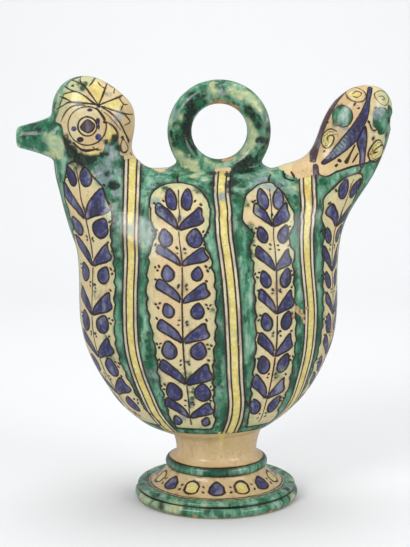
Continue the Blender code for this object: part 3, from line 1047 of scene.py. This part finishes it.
mark(on_body, {
    "deep": [
        (133, 214, 4, 1), (132, 205, 5, 1.1), (130, 196, 4, 0.9), (88, 171, 4, 0.8), (119, 120, 6, 0.9),
        (166, 240, 6, 0.9),
    ],
    "pool": [(119, 111, 5, 0.7), (84, 108, 4, 0.7)],
    "pale": [(48, 262, 5, 0.7), (176, 222, 8, 0.5)],
    "wear": [(77, 144, 1.2, 1.2)],
})
chip = (
    (63, 169, 1.8), (65.5, 166, 2.4), (68, 162, 2.6), (69.5, 157, 2.2), (71, 168, 1.8), (60.5, 163, 1.4),
)
mark(on_side, {"wear": [(*row, 1.5) for row in chip]})
for x, highest, lowest in (
    (-53.5, 152, 126), (0.5, 140, 112), (66, 152, 116), (-20, 118, 92), (-88, 150, 120),
    (26, 238, 212),
):
    for height in range(lowest, highest, 6):
        for side in (-1, 1):
            spots["deep"].append((on_side(x + hand.uniform(-0.8, 0.8), height, side), 3.6, 1))
drip = [(0.6, 67), (7.2, 67), (6.4, 62), (4.9, 58), (4.4, 52), (3.2, 51), (2.8, 57), (1.2, 62)]
wash(on_side, drip, "yellow")
for number in range(90):
    turn, height = hand.uniform(0, 360), hand.uniform(70, 262)
    kind = ("deep", "pale", "deep", "smear_and_highlight", "deep")[number % 5]
    spots[kind].append((on_body(turn, height), hand.uniform(4, 9), hand.uniform(0.35, 0.75)))

# Firing
# In the kiln the drawing sinks into the glaze. Here it is carried to the skin: each corner of a face
# keeps how far it is from the two nearest brush lines, and each point how deep it lies in each colour.

mesh = jug.data
points = read_vectors(mesh.vertices, "co") / MM
normals = read_vectors(mesh.vertex_normals, "vector")
corner_vert = np.empty(len(mesh.loops), int)
mesh.loops.foreach_get("vertex_index", corner_vert)
starts = np.empty(len(mesh.polygons), int)
totals = np.empty(len(mesh.polygons), int)
mesh.polygons.foreach_get("loop_start", starts)
mesh.polygons.foreach_get("loop_total", totals)
centres = read_vectors(mesh.polygons, "center") / MM
corner_face = np.repeat(np.arange(len(starts)), totals)
ON_SKIN = 0.6
outer = np.array([(skin_tree.find_nearest(Vector(p))[3] or 0) < ON_SKIN for p in points])
outer_face = outer[corner_vert[starts]]


def corners_of(faces):
    """The corners of some faces, one after another."""
    counts = totals[faces]
    before = np.concatenate(([0], np.cumsum(counts)[:-1]))
    return np.repeat(starts[faces] - before, counts) + np.arange(counts.sum())


def from_line(spots_near, facing, line, halves):
    """Signed distance from a brush line, distance past its end and its half width, for each point."""
    run = line[1:] - line[:-1]
    length = np.maximum(np.linalg.norm(run, axis=1), 1e-6)
    along = np.concatenate(([0], np.cumsum(length)))
    away = spots_near[:, None] - line[:-1]
    reach = (away * run).sum(2) / length**2
    gap = away - np.clip(reach, 0, 1)[..., None] * run
    nearest = (gap**2).sum(2).argmin(1)
    row = np.arange(len(spots_near))
    reach, gap, way = reach[row, nearest], gap[row, nearest], run[nearest] / length[nearest][:, None]
    travelled = along[nearest] + reach * length[nearest]
    past = np.maximum(-travelled, travelled - along[-1])
    beside = gap - (gap * way).sum(1)[:, None] * way
    side = np.sign((np.cross(way, gap) * facing).sum(1))
    offset = np.where(past > 0, np.linalg.norm(beside, axis=1), np.linalg.norm(gap, axis=1)) * side
    if np.allclose(line[0], line[-1]):
        past[:] = -9
        offset = np.linalg.norm(gap, axis=1) * side
    return np.stack((offset, past, np.interp(travelled, along, halves)), 1)


LINE_BOX = 3.2
LINE_REACH = 2.4
ink_marks = [np.tile((9.0, 0.0, 0.0), (len(corner_vert), 1)) for layer in range(2)]
ink_reach = [np.full(len(starts), LINE_REACH) for layer in range(2)]
for line, halves in ink:
    inside_box = (centres > line.min(0) - LINE_BOX).all(1) & (centres < line.max(0) + LINE_BOX).all(1)
    faces = np.flatnonzero(inside_box & outer_face)
    if not len(faces):
        continue
    corners = corners_of(faces)
    marks = from_line(points[corner_vert[corners]], normals[corner_vert[corners]], line, halves)
    gaps = np.hypot(marks[:, 0], np.maximum(marks[:, 1], 0)) - marks[:, 2]
    group = np.concatenate(([0], np.cumsum(totals[faces])[:-1]))
    nearest = np.minimum.reduceat(gaps, group)
    for_corner = np.repeat(nearest, totals[faces])
    first = for_corner < ink_reach[0][corner_face[corners]]
    second = ~first & (for_corner < ink_reach[1][corner_face[corners]])
    ink_marks[1][corners[first]] = ink_marks[0][corners[first]]
    ink_marks[0][corners[first]] = marks[first]
    ink_marks[1][corners[second]] = marks[second]
    closer = nearest < ink_reach[0][faces]
    near_faces = faces[closer]
    ink_reach[1][near_faces] = ink_reach[0][near_faces]
    ink_reach[0][near_faces] = nearest[closer]
    rest = ~closer & (nearest < ink_reach[1][faces])
    ink_reach[1][faces[rest]] = nearest[rest]


def depth_in(outline, flat):
    """How deep each flat point lies inside a closed flat outline, negative outside."""
    ends = np.roll(outline, -1, axis=0)
    run = ends - outline
    away = flat[:, None] - outline
    share = np.clip((away * run).sum(2) / np.maximum((run**2).sum(1), 1e-9), 0, 1)
    gap = np.sqrt(((away - share[..., None] * run) ** 2).sum(2).min(1))
    level = flat[:, 1][:, None]
    crosses = (outline[:, 1] > level) != (ends[:, 1] > level)
    rise = np.where(np.abs(run[:, 1]) < 1e-9, 1e-9, run[:, 1])
    right = flat[:, 0][:, None] < run[:, 0] * (level - outline[:, 1]) / rise + outline[:, 0]
    return np.where((crosses & right).sum(1) % 2 == 1, gap, -gap)


depths = {colour: np.full(len(points), -6.0) for colour in areas}
for colour, outlines in areas.items():
    for outline in outlines:
        middle = outline.mean(0)
        radius = np.linalg.norm(outline - middle, axis=1).max()
        facing = skin_tree.find_nearest(Vector(middle))[1]
        across = facing.cross((0, 0, 1)).normalized()
        basis = np.array([across, facing.cross(across)])
        near = np.flatnonzero((np.abs(points - middle) < radius + 5).all(1) & outer)
        near = near[(normals[near] @ np.array(facing)) > 0.2]
        if len(near):
            depth = depth_in((outline - middle) @ basis.T, (points[near] - middle) @ basis.T)
            depths[colour][near] = np.maximum(depths[colour][near], depth)

strengths = {}
for kind, places in spots.items():
    strength = np.zeros(len(points))
    for middle, size, power in places:
        middle = np.array(middle)
        near = np.flatnonzero((np.abs(points - middle) < size * 2.2).all(1))
        strength[near] += power * np.exp(-((points[near] - middle) ** 2).sum(1) / size**2)
    strengths[kind] = strength

# How far each point lies from the panels and the bands, which go round the body, and sideways on the neck
x, y, z = points[:, 0] - AXIS_X, points[:, 1], points[:, 2]
middle, length, width = body_oval(z)
around = np.degrees(np.arctan2(-y / width, (x - middle) / length))
middle, length = shoulder_oval(z)
sideways = -np.sign(y) * np.degrees(np.arccos(np.clip((x - middle) / length, -1, 1)))
share = above_shoulder(z)
turns = around * (1 - share) + sideways * share
panel_gap = np.full(len(points), 12.0)
for stem, edge in panel_edges:
    offset = (turn_at(stem, z) - turns + 180) % 360 - 180
    flat = np.stack((offset * per_degree(turn_at(stem, z), z), z), 1)
    near = np.flatnonzero((np.abs(flat[:, 0]) < 45) & (z > 55) & (z < 290))
    panel_gap[near] = np.minimum(panel_gap[near], -depth_in(edge, flat[near]))
across_band = np.full(len(points), 30.0)
for line in BANDS:
    end_on = abs(math.cos(math.radians(line[0][1]))) > 0.95
    seen, step = (around, round_body) if end_on else (turns, per_degree)
    offset = ((turn_at(swept(line, between=8), z) - seen + 180) % 360 - 180) * step(seen, z)
    nearer = np.abs(offset) < np.abs(across_band)
    across_band = np.where(nearer, offset, across_band)

# Where each ground ends: the bands, the hem of the green over the stem, the neck and the tail, the
# chin, the beak's root, and the green rings on the foot's collar and rim
BAND_HALF = 6.6
HEM, BODY_END = 64.6, 69.5
NECK_END, TAIL_START = -30.0, 40.0
CHIN = 287.0
BEAK_LINE = -134.0
COLLAR_GREEN = (27.2, 34.6)
RIM_GREEN = 56.4
NO_BAND = 30.0
radius = np.hypot(x, y)
ring_gap = np.hypot(np.hypot(x - RING_BACK, z - RING_Z) - RING_MAJOR, y) - RING_TUBE
TAIL_EDGE = [
    (40, 286), (47, 277), (57, 271), (66, 268.5), (80, 272.5), (86.4, 270.8), (95, 274.4), (102, 276.8),
    (109.5, 278.8), (118, 280.6), (126, 282.8), (134, 286), (140, 289),
]
tail_base = np.interp(x, *zip(*TAIL_EDGE))
saddle = np.interp(x, (-79, -74, -62, -55, -45, -38, -32), (300, 285, 282, 276, 272.5, 276, 292))
# Millimetres into the green, negative outside: between panels and bands, then round each form
green = np.minimum(panel_gap, np.abs(across_band) - BAND_HALF)
green = np.where((z < BODY_END) & (z > 50), np.minimum(np.maximum(green, BODY_END - z), z - HEM), green)
in_head = (x < NECK_END) & (z > CHIN)
green = np.where(in_head, -(z - CHIN), green)
green = np.where((x < NECK_END) & (z > saddle) & (z < 300), np.minimum(green, saddle - z), green)
green = np.where((x > TAIL_START) & (z > tail_base), -(z - tail_base), green)
beak_side = np.minimum(BEAK_LINE - x + 0.35 * np.abs(z - BEAK_Z), 5)
green = np.where((x < -100) & (z > 281), np.maximum(green, beak_side), green)
green = np.where((ring_gap < 1.5) & (z > 277), 4, green)
collar = np.minimum(z - COLLAR_GREEN[0], COLLAR_GREEN[1] - z)
green = np.where(z < 60, np.maximum(collar, radius - RIM_GREEN), green)
green = np.maximum(green, depths["green"])
# Millimetres from the middle of a band, which ends at head, tail and ring
band = np.minimum(np.abs(across_band), 12)
band = np.where((z > HEM) & (z < 290) & ~((x < NECK_END) & (z > CHIN - 2)), band, NO_BAND)
band = np.where((x > TAIL_START) & (z > tail_base + 1), NO_BAND, band)
from_ring = np.hypot(x - RING_BACK, z - RING_Z) - RING_MAJOR - RING_TUBE
band = np.where((from_ring < 1) & (np.abs(y) < RING_TUBE + 1.8), NO_BAND, band)
# Bare clay: inside, under the foot and on the ring that it stands on
inward = (normals[:, 0] * x + normals[:, 1] * y) / np.maximum(radius, 1)
recess = (z < 48) & (radius < 56) & (inward < 0.05)
bare = np.maximum(np.clip(1.6 - z, 0, 1), np.where(outer & ~recess, 0, 1))


def keep(name, domain, values):
    """Stores three numbers for each point or corner of the skin."""
    layer = mesh.attributes.new(name, "FLOAT_VECTOR", domain)
    layer.data.foreach_set("vector", values.ravel().astype(np.float32))


# The slip looks green at a panel's edge and warm on the stem and the tail, where WARM marks it
WARM = -36.0
keep("ink_a", "CORNER", ink_marks[0])
keep("ink_b", "CORNER", ink_marks[1])
tinge = np.where((z > 67) & (z < 274) & (ring_gap > 2), panel_gap, -12)
crown_edge = 0.62 * (z - EYE[1]) - 0.8 * (x - EYE[0]) - 24
tinge = np.where(in_head, np.where(x > -92, np.minimum(crown_edge, -6), crown_edge), tinge)
tinge = np.where((x > TAIL_START) & (z > tail_base), np.where(x > 122, x - 134, -12), tinge)
tinge = np.where((z < 66) | ((x > 60) & (z > tail_base - 1) & (x < 122)), WARM, tinge)
keep("grounds", "POINT", np.stack((green, band, tinge), 1))
keep("colours", "POINT", np.stack([depths[name] for name in ("blue", "yellow", "violet")], 1))
# Glaze strengths: pools, milky smears that are partly painted highlights, and thin glaze
keep("glaze", "POINT", np.stack([strengths[name] for name in ("pool", "smear_and_highlight", "pale")], 1))
keep("clay", "POINT", np.stack((strengths["wear"], bare, strengths["deep"]), 1))

# The glaze
# Lead-glazed earthenware: a pale slip, oxide colours and manganese lines under one clear, glossy coat
# that was poured on and fired. It pools dark, runs down, crackles finely and is worn through in places.

# Lead glaze on slipped clay, fired: a glassy coat of IOR 1.5, so the colours look deep and wet, with
# sharp lights that break up where the coat is thin, and plain matt clay where it is rubbed off
GLASS_IOR = 1.5
POLISH = 0.14
CLAY_DULLNESS = 0.55
CRAZE_STEP = 5.5
THICKNESS = 0.9
material = bpy.data.materials.new("lead-glazed earthenware")
material.use_nodes = True
tree = material.node_tree
tree.nodes.clear()


def linear(code):
    """An sRGB hex colour as linear red, green, blue and alpha."""
    parts = [int(code[k : k + 2], 16) / 255 for k in (1, 3, 5)]
    return (*[part / 12.92 if part <= 0.04045 else ((part + 0.055) / 1.055) ** 2.4 for part in parts], 1)


def add(kind, links=None, **settings):
    """Adds a node with its settings, and its sockets set or linked."""
    made = tree.nodes.new("ShaderNode" + kind)
    for name, value in settings.items():
        setattr(made, name, value)
    for socket, source in (links or {}).items():
        if isinstance(source, bpy.types.NodeSocket):
            tree.links.new(source, made.inputs[socket])
        else:
            made.inputs[socket].default_value = source
    return made.outputs[0] if len(made.outputs) == 1 else made.outputs


# Wet paint spreads with soft edges
SOFT = {"interpolation_type": "SMOOTHSTEP"}

# Cloudy values about 0.5: the size of a cloud in millimetres, its detail, how far it is drawn out
# upwards, and a seed
where = add("TexCoord")[3]
clouds = {}
for name, size, detail, tall, seed in (
    ("broad", 34, 2, 1.8, 3),
    ("middle", 11, 3, 2.0, 11),
    ("small", 3.4, 3, 1.0, 5),
    ("grain", 0.9, 2, 1.0, 8),
    ("runs", 5.5, 3, 6.0, 21),
    ("edges", 4.2, 2, 1.0, 31),
    ("flecks", 1.7, 1, 1.0, 44),
    ("bleed", 7.0, 3, 3.0, 57),
):
    wide = 1 / (size * MM)
    place = add("Mapping", {"Vector": where, "Location": (seed,) * 3, "Scale": (wide, wide, wide / tall)})
    clouds[name] = add("TexNoise", {"Vector": place, "Scale": 1, "Detail": detail, "Roughness": 0.55})[0]

kept = {}
for name in ("grounds", "colours", "glaze", "clay", "ink_a", "ink_b"):
    kept[name] = add("SeparateXYZ", {0: add("Attribute", attribute_name=name)[1]})
green, band, panel_gap = kept["grounds"]
blue, yellow, violet = kept["colours"]
pool, smear_and_highlight, pale = kept["glaze"]
wear, bare, deep = kept["clay"]

# Each paint: its first colour, then washes over it: a colour, the cloud that spreads it, where that
# starts and is full, and how strong it gets
paints = {}
for paint, base, washes in (
    ("slip", "#D2C497", (
        ("#DAB98C", "broad", 0.44, 0.64, 0.7),
        ("#DDD3B0", "small", 0.48, 0.74, 0.4),
        ("#C2AB78", "middle", 0.54, 0.74, 0.6),
        ("#A98F63", "bleed", 0.6, 0.78, 0.45),
    )),
    ("warm slip", "#C9AE7F", (
        ("#D6BA90", "middle", 0.44, 0.64, 0.9),
        ("#BFA06C", "bleed", 0.52, 0.7, 0.6),
    )),
    ("copper tinge", "#B4BF90", (("#97AE86", "small", 0.4, 0.7, 0.8),)),
    ("band ground", "#D6CBB0", (
        ("#A7A096", "runs", 0.46, 0.7, 0.8),
        ("#C6B27F", "broad", 0.5, 0.7, 0.6),
    )),
    ("copper green", "#3B7E5F", (
        ("#6FA287", "runs", 0.42, 0.6, 0.9),
        ("#9CBFA8", "bleed", 0.5, 0.68, 0.85),
        ("#A3B78F", "small", 0.56, 0.72, 0.6),
        ("#76807A", "broad", 0.54, 0.7, 0.5),
        ("#1F6145", "middle", 0.52, 0.36, 0.9),
        ("#123A29", "bleed", 0.44, 0.28, 0.9),
    )),
    ("pooled green", "#173B2C", (("#28352F", "small", 0.42, 0.62, 0.9),)),
    ("deep green", "#175A3C", (
        ("#0C3422", "small", 0.46, 0.64, 0.95),
        ("#2F8560", "edges", 0.56, 0.72, 0.7),
    )),
    ("honey yellow", "#D6C570", (
        ("#E4D898", "small", 0.4, 0.66, 0.9),
        ("#C89E4C", "middle", 0.54, 0.74, 0.6),
    )),
    ("cobalt blue", "#1A1F5A", (
        ("#4A5285", "small", 0.44, 0.66, 0.9),
        ("#6C7393", "broad", 0.48, 0.64, 0.6),
        ("#8289A4", "middle", 0.55, 0.72, 0.8),
        ("#171B42", "bleed", 0.5, 0.34, 0.95),
    )),
    ("manganese violet", "#4B3A40", (("#75717A", "runs", 0.48, 0.66, 0.8),)),
    # Milky blue-grey where the glaze washed thin; high on the shoulders it is also painted highlight
    ("milky glaze and highlight", "#6E8082", (
        ("#9AA2A8", "small", 0.42, 0.68, 1.0),
        ("#7B9D93", "bleed", 0.48, 0.66, 0.7),
    )),
    ("thin glaze", "#A9BC90", (
        ("#CBCA99", "small", 0.42, 0.62, 1.0),
        ("#8FB096", "bleed", 0.5, 0.66, 0.7),
    )),
    ("black green", "#0D1F18", (
        ("#2B4434", "small", 0.5, 0.7, 0.9),
        ("#31383A", "bleed", 0.52, 0.68, 0.6),
    )),
    ("bleeding", "#6A665F", (("#4E4B4A", "small", 0.42, 0.62, 0.8),)),
    ("manganese brown", "#221917", (("#53352C", "middle", 0.52, 0.72, 0.7),)),
    ("clay", "#A87B50", (("#C8A377", "small", 0.35, 0.65, 1.0),)),
):
    colour = linear(base)
    for over, cloud, start, full, strength in washes:
        cover = add("MapRange", {0: clouds[cloud], 1: start, 2: full, 4: strength}, **SOFT)
        colour = add("Mix", {0: cover[0], 6: colour, 7: linear(over)}, data_type="RGBA")[2]
    paints[paint] = colour

# How far a point lies inside the brush lines: the two nearest, and those that go with each band
wander = add("Math", {0: clouds["edges"], 1: 1.1, 2: -0.55}, operation="MULTIPLY_ADD")
beside = add("Math", {0: wander, 1: 0.5, 2: band}, operation="MULTIPLY_ADD")
ragged = add("Math", {0: clouds["small"], 1: 0.75, 2: -0.375}, operation="MULTIPLY_ADD")
# Inner and outer edge of the two lines on either side of a band's middle
BAND_LINES = ((2.6, 4.0), (5.8, 7.3))
lines = -9.0
for name in ("ink_a", "ink_b"):
    offset, past, half = kept[name]
    beyond = add("Math", {0: past, 1: 0.0}, operation="MAXIMUM")
    square = add("Math", {0: beyond, 1: beyond}, operation="MULTIPLY")
    square = add("Math", {0: offset, 1: offset, 2: square}, operation="MULTIPLY_ADD")
    gap = add("Math", {0: square}, operation="SQRT")
    inside_line = add("Math", {0: add("Math", {0: half, 1: ragged}), 1: gap}, operation="SUBTRACT")
    lines = add("Math", {0: lines, 1: inside_line}, operation="MAXIMUM")
for inner, outside in BAND_LINES:
    from_middle = add("Math", {0: beside, 1: (inner + outside) / 2}, operation="SUBTRACT")
    from_middle = add("Math", {0: from_middle}, operation="ABSOLUTE")
    inside_line = add("Math", {0: (outside - inner) / 2, 1: from_middle}, operation="SUBTRACT")
    lines = add("Math", {0: lines, 1: inside_line}, operation="MAXIMUM")

# What spreads each paint over the jug, in millimetres inside its edge, or as a strength
cloud = add("Math", {0: clouds["small"], 1: 1.1, 2: -1.55}, operation="MULTIPLY_ADD")
cloud = add("Math", {0: clouds["bleed"], 1: 1.0, 2: cloud}, operation="MULTIPLY_ADD")
cloud = add("Math", {0: cloud, 1: clouds["middle"]}, operation="ADD")
breaks = add("Math", {0: cloud, 1: 2.4, 2: 1.0}, operation="MULTIPLY_ADD")
softly = add("Math", {0: cloud, 1: 1.2, 2: 1.0}, operation="MULTIPLY_ADD")
spread = {"warm ground": panel_gap, "band": beside, "violet": violet, "lines": lines, "bare": bare}
for reason, first, second, third in (
    ("panel edge", clouds["middle"], 5.0, panel_gap),
    ("green", wander, 1.0, green),
    ("green rim", clouds["middle"], 9.0, green),
    ("yellow", wander, 1.0, yellow),
    ("blue", wander, 0.5, blue),
    ("halo", clouds["bleed"], 7.0, lines),
    ("smear_and_highlight", smear_and_highlight, breaks, 0.0),
    ("pale", pale, softly, 0.0),
    ("pool", pool, breaks, 0.0),
    ("deep", deep, breaks, 0.0),
    ("wear", wear, breaks, 0.0),
):
    spread[reason] = add("Math", {0: first, 1: second, 2: third}, operation="MULTIPLY_ADD")

# The layers in the order they lie: a paint, what spreads it, where it starts, where it is full, how strong
painted = paints["slip"]
covers = {}
for paint, reason, start, full, strength in (
    ("warm slip", "warm ground", -22.0, -32.0, 0.85),
    ("copper tinge", "panel edge", -3.2, 1.6, 0.62),
    ("copper green", "green", -0.35, 0.35, 1.0),
    ("deep green", "deep", 0.12, 1.05, 0.92),
    ("band ground", "band", 7.0, 6.4, 1.0),
    ("honey yellow", "band", 3.4, 3.0, 1.0),
    ("honey yellow", "yellow", -0.5, 0.5, 0.88),
    ("cobalt blue", "blue", -0.3, 0.3, 0.96),
    ("manganese violet", "violet", -0.3, 0.3, 1.0),
    ("bleeding", "halo", 2.6, 4.6, 0.5),
    # Milky glaze, also laid as painted highlight high on the shoulders
    ("milky glaze and highlight", "smear_and_highlight", 0.12, 1.15, 0.85),
    ("thin glaze", "pale", 0.12, 1.05, 0.88),
    ("black green", "pool", 0.12, 1.1, 0.96),
    ("manganese brown", "lines", -0.22, 0.25, 0.96),
    ("clay", "wear", 0.45, 0.8, 1.0),
    ("clay", "bare", 0.45, 0.6, 1.0),
):
    cover = add("MapRange", {0: spread[reason], 1: start, 2: full, 4: strength}, **SOFT)[0]
    over = paints[paint]
    if paint == "copper green":
        rim = add("MapRange", {0: spread["green rim"], 1: 8.4, 2: 4.2, 4: 0.8}, **SOFT)[0]
        over = add("Mix", {0: rim, 6: over, 7: paints["pooled green"]}, data_type="RGBA")[2]
    painted = add("Mix", {0: cover, 6: painted, 7: over}, data_type="RGBA")[2]
    covers[reason] = cover

# Fine crackle and specks of ash
cracks = add("TexVoronoi", {"Vector": where, "Scale": 1 / (CRAZE_STEP * MM)}, feature="DISTANCE_TO_EDGE")[0]
crackle = add("MapRange", {0: cracks, 1: 0.03, 2: 0.0, 4: 0.24}, **SOFT)[0]
specks = add("MapRange", {0: clouds["flecks"], 1: 0.70, 2: 0.76, 4: 0.6}, **SOFT)[0]
for dark, cover in (("#6F5B3F", crackle), ("#4A3A28", specks)):
    painted = add("Mix", {0: cover, 6: painted, 7: linear(dark)}, data_type="RGBA")[2]

# The coat is glossy but for the bare clay, and swells gently where it is thick
rubbed = add("Math", {0: covers["wear"], 1: covers["bare"]}, operation="MAXIMUM")
dull = add("MapRange", {0: clouds["small"], 1: 0.4, 2: 0.75, 4: 0.16}, **SOFT)[0]
matt = add("Math", {0: rubbed, 1: CLAY_DULLNESS, 2: POLISH}, operation="MULTIPLY_ADD")
roughness = add("Math", {0: matt, 1: dull}, operation="ADD")
relief = add("Math", {0: clouds["small"], 1: 0.16}, operation="MULTIPLY")
for raised, share in (
    (clouds["middle"], 0.5),
    (clouds["grain"], 0.03),
    (rubbed, -0.25),
    (covers["lines"], 0.05),
):
    relief = add("Math", {0: raised, 1: share, 2: relief}, operation="MULTIPLY_ADD")
bump = add("Bump", {"Strength": 0.5, "Distance": THICKNESS * MM, "Height": relief})
looks = {"Base Color": painted, "Roughness": roughness, "Normal": bump}
glaze = add("BsdfPrincipled", {**looks, "IOR": GLASS_IOR, "Specular IOR Level": 0.42})
add("OutputMaterial", {"Surface": glaze})

mesh.materials.clear()
mesh.materials.append(material)
mesh.shade_smooth()
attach(jug, "root")
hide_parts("jug")

# The photographer's table
# A sheet of matt white paper that lies flat under the jug and curves up behind it, four soft lamps
# round it, and the camera on its stand. None of it is part of the jug.

SHEET_WIDTH = 6000.0
SHEET_BEND = 600.0
BEND_START = 900.0
profile = [(-3000, 0), (BEND_START, 0)]
for a in np.radians(np.linspace(6, 90, 15)):
    profile.append((BEND_START + SHEET_BEND * math.sin(a), SHEET_BEND - SHEET_BEND * math.cos(a)))
profile.append((BEND_START + SHEET_BEND, 3000))

floor = bmesh.new()
verts = [floor.verts.new((-SHEET_WIDTH / 2, y, z)) for y, z in profile]
edges = [floor.edges.new(pair) for pair in zip(verts, verts[1:])]
sheet = bmesh.ops.extrude_edge_only(floor, edges=edges)
drawn = [item for item in sheet["geom"] if isinstance(item, bmesh.types.BMVert)]
bmesh.ops.translate(floor, vec=(SHEET_WIDTH, 0, 0), verts=drawn)
stage = to_object(floor, "floor")
stage.data.shade_smooth()
# Uncoated paper: matt and faintly cool, so it takes only a soft shadow from the jug
paper = bpy.data.materials.new("white paper")
paper.use_nodes = True
sheet_look = paper.node_tree.nodes["Principled BSDF"].inputs
sheet_look["Base Color"].default_value = linear("#E0E1E2")
sheet_look["Roughness"].default_value = 0.9
stage.data.materials.append(paper)
stage.visible_glossy = False

bpy.context.scene.view_settings.view_transform = "Standard"
world = bpy.data.worlds.new("studio")
world.use_nodes = True
room = world.node_tree.nodes["Background"].inputs
room["Color"].default_value = (0.97, 0.98, 1.0, 1)
room["Strength"].default_value = 0.42
bpy.context.scene.world = world

# Each lamp: where it stands, what it faces, its size in metres and its watts
for name, place, aim, size, power in (
    ("window", (-1.0, -1.3, 1.2), (0, 0, 0.18), 0.8, 16.5),
    ("fill", (1.4, -1.0, 0.9), (0, 0, 0.18), 0.9, 12),
    ("top", (0.1, 0.3, 1.7), (0, 0.1, 0.1), 1.0, 9),
    ("backdrop", (0.0, 0.5, 2.0), (0, 1.5, 0.7), 1.4, 15),
):
    lamp = bpy.data.lights.new(name, "AREA")
    lamp.shape = "SQUARE"
    lamp.size = size
    lamp.energy = power
    made = bpy.data.objects.new(name, lamp)
    made.location = place
    made.rotation_euler = (Vector(aim) - Vector(place)).to_track_quat("-Z", "Y").to_euler()
    made.visible_glossy = name in ("window", "fill")
    bpy.context.collection.objects.link(made)

FILM = 24.0
PICTURE_HEIGHT = 547
FOCUS_PIXELS = 1604.95
TILT_DOWN = 9.672
camera = bpy.data.cameras.new("camera")
camera.sensor_fit = "VERTICAL"
camera.sensor_height = FILM
camera.lens = FILM * FOCUS_PIXELS / PICTURE_HEIGHT
eye = bpy.data.objects.new("camera", camera)
eye.location = (0.0005, -1.3, 0.41)
eye.rotation_euler = (math.radians(90 - TILT_DOWN), 0, 0)
bpy.context.collection.objects.link(eye)
bpy.context.scene.camera = eye
